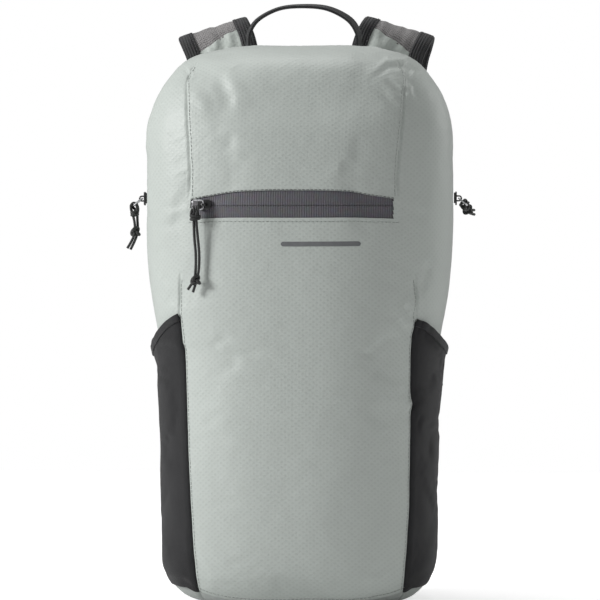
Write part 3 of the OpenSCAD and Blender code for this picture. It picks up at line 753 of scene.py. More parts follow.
# ---- Base ----
# The bottom panel of a darker ripstop, which turns up all round to the hem seam.
FOOT_Z = 0.9 * MM
FOOT_INSET = 0.3 * MM   # it lies inside the panels that are sewn to it
foot = skin[:hem_i + 1]
foot_middle = foot[0].mean(0)
disc = np.array([foot_middle + (foot[0] - foot_middle) * k
                 for k in np.linspace(0.02, 0.97, 16)])
disc[..., 2] = FOOT_Z
foot_grid = np.concatenate([disc, foot - skin_n[:hem_i + 1] * FOOT_INSET])
foot_n = normals_of(foot_grid)
foot_n[:len(disc) - 1] = (0, 0, -1)
foot_rows = len(foot_grid)
foot_quads = [(i * cols + j, i * cols + (j + 1) % cols, (i + 1) * cols + (j + 1) % cols,
               (i + 1) * cols + j) for i in range(foot_rows - 1) for j in range(cols)]
foot_quads.append(tuple(range(cols - 1, -1, -1)))
flat = foot_grid.reshape(-1, 3)
foot_uv = [[(flat[k][0] + 0.3 * flat[k][2], flat[k][1] - flat[k][2]) for k in q]
           for q in foot_quads]
base = closed_cloth("base_panel_cloth", flat, foot_n.reshape(-1, 3), foot_quads, cloth_thick,
                    base_cloth, foot_uv)
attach(base, "pack")
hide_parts("base_panel")

# ---- Rows of stitches ----
# Polyester thread: each row is laid by Geometry Nodes along a line of points.


def row_of_bars(label):
    """Round bars at an even pitch along a line, each turned to the line's own direction."""
    tree = bpy.data.node_groups.new(label, "GeometryNodeTree")
    face = tree.interface
    face.new_socket("Geometry", in_out="INPUT", socket_type="NodeSocketGeometry")
    face.new_socket("Pitch", in_out="INPUT", socket_type="NodeSocketFloat")
    face.new_socket("Length", in_out="INPUT", socket_type="NodeSocketFloat")
    face.new_socket("Radius", in_out="INPUT", socket_type="NodeSocketFloat")
    face.new_socket("Material", in_out="INPUT", socket_type="NodeSocketMaterial")
    face.new_socket("Geometry", in_out="OUTPUT", socket_type="NodeSocketGeometry")
    nodes = tree.nodes
    links = tree.links
    given = nodes.new("NodeGroupInput")
    given.label = "Sizes"
    line = nodes.new("GeometryNodeMeshToCurve")
    line.label = "The line of the row"
    even = nodes.new("GeometryNodeResampleCurve")
    even.label = "One point for each bar"
    even.mode = "LENGTH"
    bar = nodes.new("GeometryNodeMeshCylinder")
    bar.label = "One bar"
    bar.inputs["Vertices"].default_value = 6
    bar.inputs["Side Segments"].default_value = 2
    direction = nodes.new("GeometryNodeInputNamedAttribute")
    direction.label = "Direction of the bar"
    direction.data_type = "FLOAT_VECTOR"
    direction.inputs["Name"].default_value = "lay"
    turn = nodes.new("FunctionNodeAlignRotationToVector")
    turn.label = "Turn the bar"
    turn.axis = "Z"
    copies = nodes.new("GeometryNodeInstanceOnPoints")
    copies.label = "Lay the bars"
    real = nodes.new("GeometryNodeRealizeInstances")
    real.label = "Make them real"
    smooth = nodes.new("GeometryNodeSetShadeSmooth")
    smooth.label = "Round thread"
    dyed = nodes.new("GeometryNodeSetMaterial")
    dyed.label = "Thread"
    out = nodes.new("NodeGroupOutput")
    out.label = "The row"
    links.new(given.outputs["Geometry"], line.inputs["Mesh"])
    links.new(line.outputs["Curve"], even.inputs["Curve"])
    links.new(given.outputs["Pitch"], even.inputs["Length"])
    links.new(given.outputs["Radius"], bar.inputs["Radius"])
    links.new(given.outputs["Length"], bar.inputs["Depth"])
    links.new(direction.outputs["Attribute"], turn.inputs["Vector"])
    links.new(even.outputs["Curve"], copies.inputs["Points"])
    links.new(bar.outputs["Mesh"], copies.inputs["Instance"])
    links.new(turn.outputs["Rotation"], copies.inputs["Rotation"])
    links.new(copies.outputs["Instances"], real.inputs["Geometry"])
    links.new(real.outputs["Geometry"], smooth.inputs["Geometry"])
    links.new(smooth.outputs["Geometry"], dyed.inputs["Geometry"])
    links.new(given.outputs["Material"], dyed.inputs["Material"])
    links.new(dyed.outputs["Geometry"], out.inputs["Geometry"])
    lay_out([[given], [line, bar, direction], [even, turn], [copies], [real], [smooth], [dyed],
             [out]])
    return tree


bar_row = row_of_bars("row_of_bars")


def laid_row(name, lines, pitch, length, radius, material, lays=None):
    """Bars along each line of points. They lie along it unless lays gives directions."""
    points = np.concatenate(lines)
    mesh = bpy.data.meshes.new(name)
    edges = []
    start = 0
    for line in lines:
        edges += [(start + k, start + k + 1) for k in range(len(line) - 1)]
        start += len(line)
    mesh.from_pydata([tuple(p) for p in points], edges, [])
    if lays is None:
        lays = [np.gradient(line, axis=0) for line in lines]
    direction = mesh.attributes.new("lay", "FLOAT_VECTOR", "POINT")
    direction.data.foreach_set("vector", np.concatenate(lays).astype(np.float32).ravel())
    source = bpy.data.objects.new(name, mesh)
    bpy.context.scene.collection.objects.link(source)
    laying = source.modifiers.new("row", "NODES")
    laying.node_group = bar_row
    sockets = {item.name: item.identifier for item in bar_row.interface.items_tree
               if item.in_out == "INPUT"}
    laying[sockets["Pitch"]] = pitch
    laying[sockets["Length"]] = length
    laying[sockets["Radius"]] = radius
    laying[sockets["Material"]] = material
    bpy.context.view_layer.update()
    seen_mesh = bpy.data.meshes.new_from_object(
        source.evaluated_get(bpy.context.evaluated_depsgraph_get()))
    source.modifiers.clear()
    source.data = seen_mesh
    if not seen_mesh.materials:
        seen_mesh.materials.append(material)
    return source


def spun_thread(name, colour, rough=0.6):
    """Twisted polyester thread, with painted shade between the plies."""
    material, nodes, links = new_material(name)
    place = nodes.new("ShaderNodeTexCoord")
    place.label = "Place on the pack"
    twist = nodes.new("ShaderNodeTexWave")
    twist.label = "Twist"
    twist.bands_direction = "DIAGONAL"
    twist.inputs["Scale"].default_value = 900
    twist.inputs["Distortion"].default_value = 2
    # The darker colour is painted shade in the troughs between the plies.
    tint = nodes.new("ShaderNodeMix")
    tint.label = "Painted shade between the plies"
    tint.data_type = "RGBA"
    tint.inputs["A"].default_value = (*[c * 0.7 for c in colour], 1)
    tint.inputs["B"].default_value = (*colour, 1)
    relief_node = nodes.new("ShaderNodeBump")
    relief_node.label = "Ply relief"
    relief_node.inputs["Strength"].default_value = 0.6
    relief_node.inputs["Distance"].default_value = 0.0001
    surface = nodes.new("ShaderNodeBsdfPrincipled")
    surface.label = "Thread"
    surface.inputs["Roughness"].default_value = rough
    surface.inputs["Sheen Weight"].default_value = 0.2
    out = nodes.new("ShaderNodeOutputMaterial")
    out.label = "Thread surface"
    links.new(place.outputs["Object"], twist.inputs["Vector"])
    links.new(twist.outputs["Fac"], tint.inputs["Factor"])
    links.new(twist.outputs["Fac"], relief_node.inputs["Height"])
    links.new(tint.outputs["Result"], surface.inputs["Base Color"])
    links.new(relief_node.outputs["Normal"], surface.inputs["Normal"])
    links.new(surface.outputs["BSDF"], out.inputs["Surface"])
    lay_out([[place], [twist], [tint, relief_node], [surface], [out]])
    for label, members in (("Colour", (tint,)), ("Relief", (twist, relief_node))):
        group = nodes.new("NodeFrame")
        group.label = label
        for node in members:
            node.parent = group
    return material


sage_thread = spun_thread("thread_sage", (0.36, 0.39, 0.37))
dark_thread = spun_thread("thread_dark", (0.05, 0.05, 0.055))
stitch = (3.2 * MM, 2.3 * MM, 0.22 * MM)  # pitch, length and radius
THREAD_OFF = 0.15 * MM  # the row's middle, off the cloth
FROM_SEAM = 2.6 * MM


def skin_line(i, j, off):
    """A line of points on the shell, from lists of rows and columns."""
    i, j = np.broadcast_arrays(np.asarray(i, float), np.asarray(j, float))
    return on_skin(i, j, np.full(i.shape, off))[0]


def beside(s, rows_range, distance):
    """A line up the shell at a distance round from a seam."""
    i = np.arange(*rows_range)
    j0 = column_of(s, refine)
    columns = [np.interp(around[k, j0] + distance, around[k], np.arange(cols)) for k in i]
    return skin_line(i, columns, THREAD_OFF)


seam_stitch_lines = []
for s, toward in zip(FRONT_SEAMS, (-1, 1)):
    seam_stitch_lines.append(beside(s, (hem_i, seam_top - 3), toward * FROM_SEAM))
    seam_stitch_lines.append(beside(s, (high_i + 2, dart_end - 4), toward * FROM_SEAM))
hem_line = skin_line(np.full(cols, hem_i + 2.0), np.arange(cols), THREAD_OFF)
for s, toward in zip(BACK_SEAMS, (1, -1)):
    seam_stitch_lines.append(beside(s, (hem_i, rows - 12), toward * FROM_SEAM))
seam_stitches = laid_row("seam_stitches", seam_stitch_lines + [hem_line], *stitch, sage_thread)
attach(seam_stitches, "pack")

# ---- Side pockets ----
# Black stretch cloth caught in the front and back seams, tight at the bottom and open at
# the mouth, which is bound with a folded elastic.


def column_at(i, distance):
    """The fractional column at a distance round the body, in a whole row."""
    return np.interp(distance, around[i], np.arange(cols))


def grid_normals(grid):
    """Unit normals of an open grid, rows up and columns to the right seen from outside."""
    n = np.cross(np.gradient(grid, axis=1), np.gradient(grid, axis=0))
    return n / np.maximum(np.linalg.norm(n, axis=-1, keepdims=True), 1e-12)


def grid_cloth(name, grid, thick, material):
    """An open grid of points as one closed cloth piece."""
    count_r, count_c = grid.shape[:2]
    across = np.concatenate([np.zeros((count_r, 1)), np.cumsum(
        np.linalg.norm(np.diff(grid, axis=1), axis=-1), 1)], 1)
    across = across - across[:, count_c // 2][:, None]
    up = np.concatenate([np.zeros((1, count_c)), np.cumsum(
        np.linalg.norm(np.diff(grid, axis=0), axis=-1), 0)])
    quads = []
    uv = []
    for i in range(count_r - 1):
        for j in range(count_c - 1):
            corners = ((i, j), (i, j + 1), (i + 1, j + 1), (i + 1, j))
            quads.append(tuple(r * count_c + c for r, c in corners))
            uv.append([(across[r, c], up[r, c]) for r, c in corners])
    return closed_cloth(name, grid.reshape(-1, 3), grid_normals(grid).reshape(-1, 3), quads,
                        thick, material, uv)


def stretch_cloth(name, colour, tip_highlight):
    """Knitted stretch nylon: fine upright wales, dull, with a slight painted sheen on the loop
    tips, in uneven patches.
    """
    material, nodes, links = new_material(name)
    cloth = nodes.new("ShaderNodeUVMap")
    cloth.label = "Place on the cloth"
    cloth.uv_map = "cloth"
    wales = nodes.new("ShaderNodeTexWave")
    wales.label = "Knitted wales"
    wales.inputs["Scale"].default_value = 330
    wales.inputs["Distortion"].default_value = 1.5
    courses = nodes.new("ShaderNodeTexWave")
    courses.label = "Knitted courses"
    courses.bands_direction = "Y"
    courses.inputs["Scale"].default_value = 420
    courses.inputs["Distortion"].default_value = 1.5
    loops = nodes.new("ShaderNodeMath")
    loops.label = "Loops"
    loops.operation = "MULTIPLY"
    # This noise is no wear: it sets uneven patches of painted sheen on the loop tips, and the slack
    # dents.
    worn = nodes.new("ShaderNodeTexNoise")
    worn.label = "Painted sheen patches and slack dents"
    worn.inputs["Scale"].default_value = 35
    worn.inputs["Detail"].default_value = 4
    # The lighter tip colour is a painted highlight where the loop tips catch light.
    tint = nodes.new("ShaderNodeMix")
    tint.label = "Painted highlight on the loop tips"
    tint.data_type = "RGBA"
    tint.inputs["A"].default_value = (*colour, 1)
    tint.inputs["B"].default_value = (*tip_highlight, 1)
    both = nodes.new("ShaderNodeMath")
    both.label = "Painted sheen on the tips, in patches"
    both.operation = "MULTIPLY"
    dents = nodes.new("ShaderNodeBump")
    dents.label = "Slack dents"
    dents.inputs["Strength"].default_value = 0.8
    dents.inputs["Distance"].default_value = 0.0008
    relief_node = nodes.new("ShaderNodeBump")
    relief_node.label = "Knit relief"
    relief_node.inputs["Strength"].default_value = 0.7
    relief_node.inputs["Distance"].default_value = 0.00012
    surface = nodes.new("ShaderNodeBsdfPrincipled")
    surface.label = "Stretch nylon"
    surface.inputs["Roughness"].default_value = 0.75
    surface.inputs["Sheen Weight"].default_value = 0.12
    surface.inputs["Sheen Roughness"].default_value = 0.5
    surface.inputs["Specular IOR Level"].default_value = 0.3
    out = nodes.new("ShaderNodeOutputMaterial")
    out.label = "Stretch cloth"
    links.new(cloth.outputs["UV"], wales.inputs["Vector"])
    links.new(cloth.outputs["UV"], courses.inputs["Vector"])
    links.new(cloth.outputs["UV"], worn.inputs["Vector"])
    links.new(wales.outputs["Fac"], loops.inputs[0])
    links.new(courses.outputs["Fac"], loops.inputs[1])
    links.new(loops.outputs["Value"], both.inputs[0])
    links.new(worn.outputs["Fac"], both.inputs[1])
    links.new(both.outputs["Value"], tint.inputs["Factor"])
    links.new(worn.outputs["Fac"], dents.inputs["Height"])
    links.new(loops.outputs["Value"], relief_node.inputs["Height"])
    links.new(dents.outputs["Normal"], relief_node.inputs["Normal"])
    links.new(tint.outputs["Result"], surface.inputs["Base Color"])
    links.new(relief_node.outputs["Normal"], surface.inputs["Normal"])
    links.new(surface.outputs["BSDF"], out.inputs["Surface"])
    lay_out([[cloth], [wales, courses, worn], [loops, both], [tint, dents], [relief_node],
             [surface], [out]])
    for label, members in (
            ("Knit", (wales, courses, loops)),
            ("Painted sheen", (worn, both, tint)),
            ("Relief", (dents, relief_node))):
        group = nodes.new("NodeFrame")
        group.label = label
        for node in members:
            node.parent = group
    return material


def ribbed_tape(name, colour, groove, rib, depth, along=True, rough=0.7, slub=0.5):
    """Woven tape or webbing: ribs at an even pitch, with painted shade in the grooves."""
    material, nodes, links = new_material(name)
    cloth = nodes.new("ShaderNodeUVMap")
    cloth.label = "Place on the tape"
    cloth.uv_map = "cloth"
    ribs = nodes.new("ShaderNodeTexWave")
    ribs.label = "Ribs"
    ribs.bands_direction = "X" if along else "Y"
    ribs.inputs["Scale"].default_value = 0.314 / rib
    ribs.inputs["Distortion"].default_value = slub
    ribs.inputs["Detail Scale"].default_value = 3
    picks = nodes.new("ShaderNodeTexWave")
    picks.label = "Crossing picks"
    picks.bands_direction = "Y" if along else "X"
    picks.inputs["Scale"].default_value = 0.5 / rib
    weave = nodes.new("ShaderNodeMath")
    weave.label = "Ribs broken by the picks"
    weave.operation = "MULTIPLY_ADD"
    weave.inputs[1].default_value = 0.3
    fuzz = nodes.new("ShaderNodeTexNoise")
    fuzz.label = "Yarn unevenness"
    fuzz.inputs["Scale"].default_value = 220
    fuzz.inputs["Detail"].default_value = 4
    tint = nodes.new("ShaderNodeMix")
    # The groove colour is painted shade, darkening the grooves between the ribs.
    tint.label = "Painted shade in the grooves"
    tint.data_type = "RGBA"
    tint.inputs["A"].default_value = (*groove, 1)
    tint.inputs["B"].default_value = (*colour, 1)
    shade = nodes.new("ShaderNodeMix")
    shade.label = "Yarn shade"
    shade.data_type = "RGBA"
    shade.blend_type = "MULTIPLY"
    shade.inputs["Factor"].default_value = 0.35
    relief_node = nodes.new("ShaderNodeBump")
    relief_node.label = "Rib relief"
    relief_node.inputs["Strength"].default_value = 0.9
    relief_node.inputs["Distance"].default_value = depth
    surface = nodes.new("ShaderNodeBsdfPrincipled")
    surface.label = "Woven yarn"
    surface.inputs["Roughness"].default_value = rough
    surface.inputs["Sheen Weight"].default_value = 0.15
    surface.inputs["Specular IOR Level"].default_value = 0.3
    out = nodes.new("ShaderNodeOutputMaterial")
    out.label = "Tape"
    links.new(cloth.outputs["UV"], ribs.inputs["Vector"])
    links.new(cloth.outputs["UV"], picks.inputs["Vector"])
    links.new(cloth.outputs["UV"], fuzz.inputs["Vector"])
    links.new(picks.outputs["Fac"], weave.inputs[0])
    links.new(ribs.outputs["Fac"], weave.inputs[2])
    links.new(weave.outputs["Value"], tint.inputs["Factor"])
    links.new(tint.outputs["Result"], shade.inputs["A"])
    links.new(fuzz.outputs["Color"], shade.inputs["B"])
    links.new(weave.outputs["Value"], relief_node.inputs["Height"])
    links.new(shade.outputs["Result"], surface.inputs["Base Color"])
    links.new(relief_node.outputs["Normal"], surface.inputs["Normal"])
    links.new(surface.outputs["BSDF"], out.inputs["Surface"])
    lay_out([[cloth], [ribs, picks, fuzz], [weave], [tint, relief_node], [shade], [surface],
             [out]])
    for label, members in (
            ("Ribs", (ribs, picks, weave, relief_node)),
            ("Colour", (tint, fuzz, shade))):
        group = nodes.new("NodeFrame")
        group.label = label
        for node in members:
            node.parent = group
    return material


def unit_rows(v):
    """Vectors made one long."""
    return v / np.maximum(np.linalg.norm(v, axis=-1, keepdims=True), 1e-12)


def swept(name, path, section, across, material, rings_closed=False):
    """A closed section, points (along across, along the normal), swept along a path. The
    section may be one list of points or one for each point of the path."""
    path = np.asarray(path, float)
    count = len(path)
    if rings_closed:
        tangent = unit_rows(np.roll(path, -1, 0) - np.roll(path, 1, 0))
    else:
        tangent = unit_rows(np.gradient(path, axis=0))
    side = np.broadcast_to(np.asarray(across, float), path.shape)
    side = unit_rows(side - (side * tangent).sum(-1, keepdims=True) * tangent)
    out = np.cross(side, tangent)
    shape = np.broadcast_to(np.asarray(section, float), (count, *np.shape(section)[-2:]))
    m = shape.shape[1]
    points = (path[:, None] + side[:, None] * shape[..., :1] + out[:, None] * shape[..., 1:])
    run = np.concatenate([[0], np.cumsum(np.linalg.norm(np.diff(path, axis=0), axis=1))])
    girth = np.concatenate([[0], np.cumsum(np.linalg.norm(
        np.diff(np.vstack([shape[0], shape[0][:1]]), axis=0), axis=1))])
    faces = []
    uv = []
    last = count if rings_closed else count - 1
    for i in range(last):
        n = (i + 1) % count
        far = run[i + 1] if i + 1 < count else run[-1] + np.linalg.norm(path[0] - path[-1])
        for k in range(m):
            k2 = (k + 1) % m
            faces.append((i * m + k, i * m + k2, n * m + k2, n * m + k))
            uv += [(girth[k], run[i]), (girth[k + 1], run[i]), (girth[k + 1], far),
                   (girth[k], far)]
    if not rings_closed:
        for start, order in ((0, range(m - 1, -1, -1)), (count - 1, range(m))):
            faces.append(tuple(start * m + k for k in order))
            uv += [tuple(shape[start, k]) for k in order]
    piece = mesh_object(name, points.reshape(-1, 3), faces, material)
    layer = piece.data.uv_layers.new(name="cloth")
    layer.data.foreach_set("uv", np.array(uv, np.float32).ravel())
    shell = bmesh.new()
    shell.from_mesh(piece.data)
    if shell.calc_volume(signed=True) < 0:
        bmesh.ops.reverse_faces(shell, faces=shell.faces)
    shell.to_mesh(piece.data)
    shell.free()
    return piece


def flat_section(width, thick, points=20, square=0.22):
    """A flat strip's section with rounded edges."""
    a = np.arange(points) * TAU / points
    return np.stack([width / 2 * signed_power(np.cos(a), square),
                     thick / 2 * signed_power(np.sin(a), 0.75)], -1)


def round_section(radius, sides=12):
    """A round cord's section."""
    a = np.arange(sides) * TAU / sides
    return np.stack([radius * np.cos(a), radius * np.sin(a)], -1)


def smooth_line(points, steps):
    """Smooth points, in metres, along given points in millimetres."""
    table = np.asarray(points, float) * MM
    return chain(table, np.linspace(0, len(table) - 1, (len(table) - 1) * steps + 1))


# The stretch cloth's lighter colour is its painted highlight on the loop tips.
black_stretch = stretch_cloth("stretch_black", (0.012, 0.012, 0.013), (0.05, 0.05, 0.054))
elastic_tape = ribbed_tape("elastic_black", (0.035, 0.035, 0.038), (0.012, 0.012, 0.013),
                           0.7 * MM, 0.0002)
POCKET_TOP = {-1: 7.6, 1: 7.54}     # ring level of the mouth at the front seam
POCKET_DROP = {-1: 0.46, 1: 0.36}   # how many levels it slopes down from there
POCKET_LOW = 2.7                    # ring level of the lower edge
POCKET_GAP = 6.2 * MM               # how far the mouth gapes in the middle
POCKET_SLACK = 0.7 * MM
POCKET_T = 0.8 * MM
pocket_rows = 84
pocket_cols = 72
rim_points = 90


def pocket_mouth(side, c):
    """Level of the mouth: it slopes down from the front seam and then runs level."""
    fall = np.sin(np.minimum(math.pi / 2, math.radians(150) * c))
    return POCKET_TOP[side] - POCKET_DROP[side] * fall - 0.1 * c


def pocket_stand_off(r, c):
    """How far the pocket cloth stands off the body."""
    edge = np.clip(np.minimum(c, 1 - c) / 0.04, 0, 1)
    return 0.15 * MM + 0.9 * MM * edge + POCKET_GAP * r ** 4 * np.sin(math.pi * c) ** 0.7


def pocket_grid(side, r, c, extra=0.0):
    """Points of the pocket at parameters r up from the lower edge and c round from the
    front seam, on the left (-1) or right (1)."""
    r, c = np.broadcast_arrays(r, c)
    found = np.empty(r.shape + (3,))
    right = int(side < 0)   # place in the pairs of seams, which start with the right side
    seam_j = column_of(FRONT_SEAMS[right], refine)
    back_j = column_of(BACK_SEAMS[right], refine)
    reference = column_of(2 if side > 0 else 10, refine)
    level = POCKET_LOW + (pocket_mouth(side, c) - POCKET_LOW) * r
    i = np.interp(level, skin_level[:, reference], np.arange(rows))
    for k in np.ndindex(r.shape):
        whole = int(i[k])
        start = around[whole, seam_j]
        stop = around[whole, back_j]
        j = column_at(whole, start + (stop - start) * c[k])
        wave = noise.noise(Vector((c[k] * 5, r[k] * 9, side * 3.0)))
        slack = POCKET_SLACK * wave * min(1, 12 * c[k], 12 * (1 - c[k]), 5 * (1 - r[k]))
        off = pocket_stand_off(r[k], c[k]) + max(slack, -0.4 * MM) + extra
        found[k] = on_skin(np.array(i[k]), np.array(j), np.array(off))[0]
    return found


for side_name, side in (("left", -1), ("right", 1)):
    r = np.linspace(0, 0.985, pocket_rows)[:, None]
    c = eased(np.linspace(0, 1, pocket_cols))[None, :]
    grid = pocket_grid(side, r, c)
    if side < 0:
        grid = grid[:, ::-1]
    pocket = grid_cloth("side_pocket_" + side_name + "_cloth", grid, POCKET_T, black_stretch)
    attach(pocket, "pack")
    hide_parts("side_pocket_" + side_name)
    rim = np.linspace(0.005, 0.995, rim_points)
    lip = pocket_grid(side, np.full(rim_points, 0.986), rim, 0.3 * MM)
    above = pocket_grid(side, np.full(rim_points, 1.02), rim, 0.3 * MM)
    upward = above - lip
    upward = sum(np.roll(upward, k, 0) for k in (-1, 0, 1)) / 3
    upward[[0, -1]] = upward[[1, -2]]
    binding = swept("pocket_elastic_" + side_name + "_tape", lip,
                    flat_section(6 * MM, 1.3 * MM), upward, elastic_tape)
    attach(binding, "pack")
    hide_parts("pocket_elastic_" + side_name)

# ---- Front pocket zip ----
# Two ribbed tape halves behind the pocket opening, with the coil on their inner side, so
# that only a dark line shows between them. A cloth pocket bag hangs behind.
ZIP_ARC_R = 264 * MM
ZIP_Z = 320 * MM
ZIP_AXIS_Y = (-78 + 1.1) * MM + ZIP_ARC_R
TAPE_RIB = 1.9 * MM
TAPE_T = 0.5 * MM
pocket_turns = (1.3 * MM, 1.5 * MM, 0.3 * MM)   # the coil's pitch, length across and radius
main_turns = (1.6 * MM, 2.8 * MM, 0.45 * MM)
zip_tape = ribbed_tape("tape_graphite", (0.17, 0.165, 0.185), (0.09, 0.088, 0.10), TAPE_RIB,
                       0.0001, True, 0.55, 0.8)


def moulded(name, colour, rough, speck, coat=0.0):
    """Moulded or painted surface: fine grain and slight wear in its gloss."""
    material, nodes, links = new_material(name)
    place = nodes.new("ShaderNodeTexCoord")
    place.label = "Place on the pack"
    grain = nodes.new("ShaderNodeTexNoise")
    grain.label = "Moulded grain"
    grain.inputs["Scale"].default_value = 1200
    wear = nodes.new("ShaderNodeTexNoise")
    wear.label = "Handling wear"
    wear.inputs["Scale"].default_value = 160
    wear.inputs["Detail"].default_value = 3
    gloss = nodes.new("ShaderNodeMapRange")
    gloss.label = "Gloss where worn"
    gloss.inputs["To Min"].default_value = rough + 0.08
    gloss.inputs["To Max"].default_value = rough - 0.08
    tint = nodes.new("ShaderNodeMix")
    tint.label = "Lighter where worn"
    tint.data_type = "RGBA"
    tint.inputs["A"].default_value = (*colour, 1)
    tint.inputs["B"].default_value = (*[min(1, x * 1.5 + 0.006) for x in colour], 1)
    relief_node = nodes.new("ShaderNodeBump")
    relief_node.label = "Grain relief"
    relief_node.inputs["Strength"].default_value = 0.4
    relief_node.inputs["Distance"].default_value = speck
    surface = nodes.new("ShaderNodeBsdfPrincipled")
    surface.label = "Moulding"
    surface.inputs["Coat Weight"].default_value = coat
    out = nodes.new("ShaderNodeOutputMaterial")
    out.label = "Moulded surface"
    links.new(place.outputs["Object"], grain.inputs["Vector"])
    links.new(place.outputs["Object"], wear.inputs["Vector"])
    links.new(wear.outputs["Fac"], gloss.inputs["Value"])
    links.new(wear.outputs["Fac"], tint.inputs["Factor"])
    links.new(grain.outputs["Fac"], relief_node.inputs["Height"])
    links.new(tint.outputs["Result"], surface.inputs["Base Color"])
    links.new(gloss.outputs["Result"], surface.inputs["Roughness"])
    links.new(relief_node.outputs["Normal"], surface.inputs["Normal"])
    links.new(surface.outputs["BSDF"], out.inputs["Surface"])
    lay_out([[place], [grain, wear], [gloss, tint, relief_node], [surface], [out]])
    for label, members in (("Grain", (grain, relief_node)), ("Wear", (wear, gloss, tint))):
        group = nodes.new("NodeFrame")
        group.label = label
        for node in members:
            node.parent = group
    return material


coil_plastic = moulded("coil_black", (0.012, 0.012, 0.013), 0.4, 0.00002)
COIL_Z = 319.3 * MM
coil_points = 160
tape_j = front_j + np.linspace(-47, 47, 480)
coil_i = np.array([np.interp(COIL_Z, skin[:, int(round(j)) % cols, 2], np.arange(rows))
                   for j in tape_j])
coil_i = np.convolve(np.pad(coil_i, 10, mode="edge"), np.full(21, 1 / 21), mode="valid")
tape_mid, _ = on_skin(coil_i, tape_j)
tape_far = np.concatenate([[0], np.cumsum(np.linalg.norm(np.diff(tape_mid, axis=0), axis=1))])
rib_wave = 0.12 * MM * np.abs(np.sin(math.pi * tape_far / TAPE_RIB))[None, :]
inset = 0.55 * MM + cloth_thick
tuck = 5        # rows of tape that lie behind the panels' edges
slit = 0.06     # rows between the coil's middle and each tape
for half, start, stop in (("lower", low_i - tuck, coil_i - slit),
                          ("upper", coil_i + slit, high_i + tuck)):
    tape_i = start + np.linspace(0, 1, 14)[:, None] * (stop - start)[None, :]
    deep = inset - 0.35 * MM * np.exp(-((tape_i - coil_i) / 1.2) ** 2)
    points, _ = on_skin(tape_i, tape_j[None, :] + 0 * tape_i, rib_wave - deep)
    half_tape = grid_cloth("pocket_zip_tape_" + half + "_ribs", points, TAPE_T, zip_tape)
    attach(half_tape, "pack")
    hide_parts("pocket_zip_tape_" + half)
coil_j = front_j + np.linspace(-44.5, 43.5, coil_points)
coil_line, _ = on_skin(np.interp(coil_j, tape_j, coil_i), coil_j,
                       np.full(coil_points, 0.2 * MM - inset))
pocket_coil = laid_row("pocket_zip_teeth", [coil_line], *pocket_turns, coil_plastic,
                       [np.tile((0.0, 0.0, 1.0), (coil_points, 1))])
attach(pocket_coil, "pack")
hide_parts("pocket_zip_coil")

span = np.arange(front_j - 44, front_j + 43)
for name, edge_i, thread in (("pocket_zip_stitches_lower", low_i - 1.6, sage_thread),
                             ("pocket_zip_stitches_upper", high_i + 0.3, dark_thread)):
    edge_line = skin_line(np.full(len(span), edge_i), span, 0.12 * MM)
    zip_stitches = laid_row(name, [edge_line], *stitch, thread)
    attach(zip_stitches, "pack")

BAG_SWELL = 11 * MM
lining_cloth = ripstop("lining_grey", (0.36, 0.38, 0.37), (0.28, 0.3, 0.29), 3.4 * MM, 0.00005,
                       0.0008, 0.6)
lining_r = np.linspace(0, 1, 40)[:, None]
lining_c = np.linspace(0, 1, 44)[None, :]
bag_swell = (1 - np.abs(2 * lining_r - 1) ** 4) * (1 - np.abs(2 * lining_c - 1) ** 4)
lining_i = low_i - 96 + lining_r * 90 + 0 * lining_c
lining_j = front_j + (lining_c - 0.5) * 80 + 0 * lining_r
lining_points, _ = on_skin(lining_i, lining_j, -1.4 * MM - BAG_SWELL * bag_swell)
lining = grid_cloth("front_pocket_bag", lining_points, 0.3 * MM, lining_cloth)
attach(lining, "pack")
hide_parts("front_pocket_lining")

# ---- Printed bar ----
# A plain bar of grey ink under the pocket zip.
ink = moulded("ink_grey", (0.13, 0.135, 0.14), 0.5, 0.00002)


def front_place(x, z):
    """Fractional rows and columns of points on the front, from x and z."""
    x, z = np.broadcast_arrays(x, z)
    span = np.arange(front_j - 46, front_j + 47)
    i = np.empty(x.shape)
    j = np.empty(x.shape)
    for k in np.ndindex(x.shape):
        i[k] = np.interp(z[k], skin[:, front_j, 2], np.arange(rows))
        j[k] = np.interp(x[k], skin[int(i[k]), span, 0], span)
    return i, j


BAR_FROM = -9           # millimetres across the front
BAR_TO = 54
BAR_MIDDLE = 22.5 * MM
BAR_STRAIGHT = 29.4 * MM    # half its length without the round ends
BAR_END = 2.1 * MM
BAR_Z = 289 * MM
BAR_HALF = 1.9          # millimetres
INK_T = 0.1 * MM
bar_x = np.linspace(BAR_FROM, BAR_TO, 90)[None, :] * MM
past_straight = np.clip((np.abs(bar_x - BAR_MIDDLE) - BAR_STRAIGHT) / BAR_END, 0, 1)
bar_round = np.sqrt(np.clip(1 - past_straight ** 2, 0.02, 1))
bar_z = BAR_Z + np.linspace(-BAR_HALF, BAR_HALF, 8)[:, None] * MM * bar_round
bar_i, bar_j = front_place(bar_x + 0 * bar_z, bar_z)
bar_points, _ = on_skin(bar_i, bar_j, np.full(bar_i.shape, INK_T))
bar = grid_cloth("print_bar_ink", bar_points, INK_T, ink)
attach(bar, "pack")
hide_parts("print_bar")

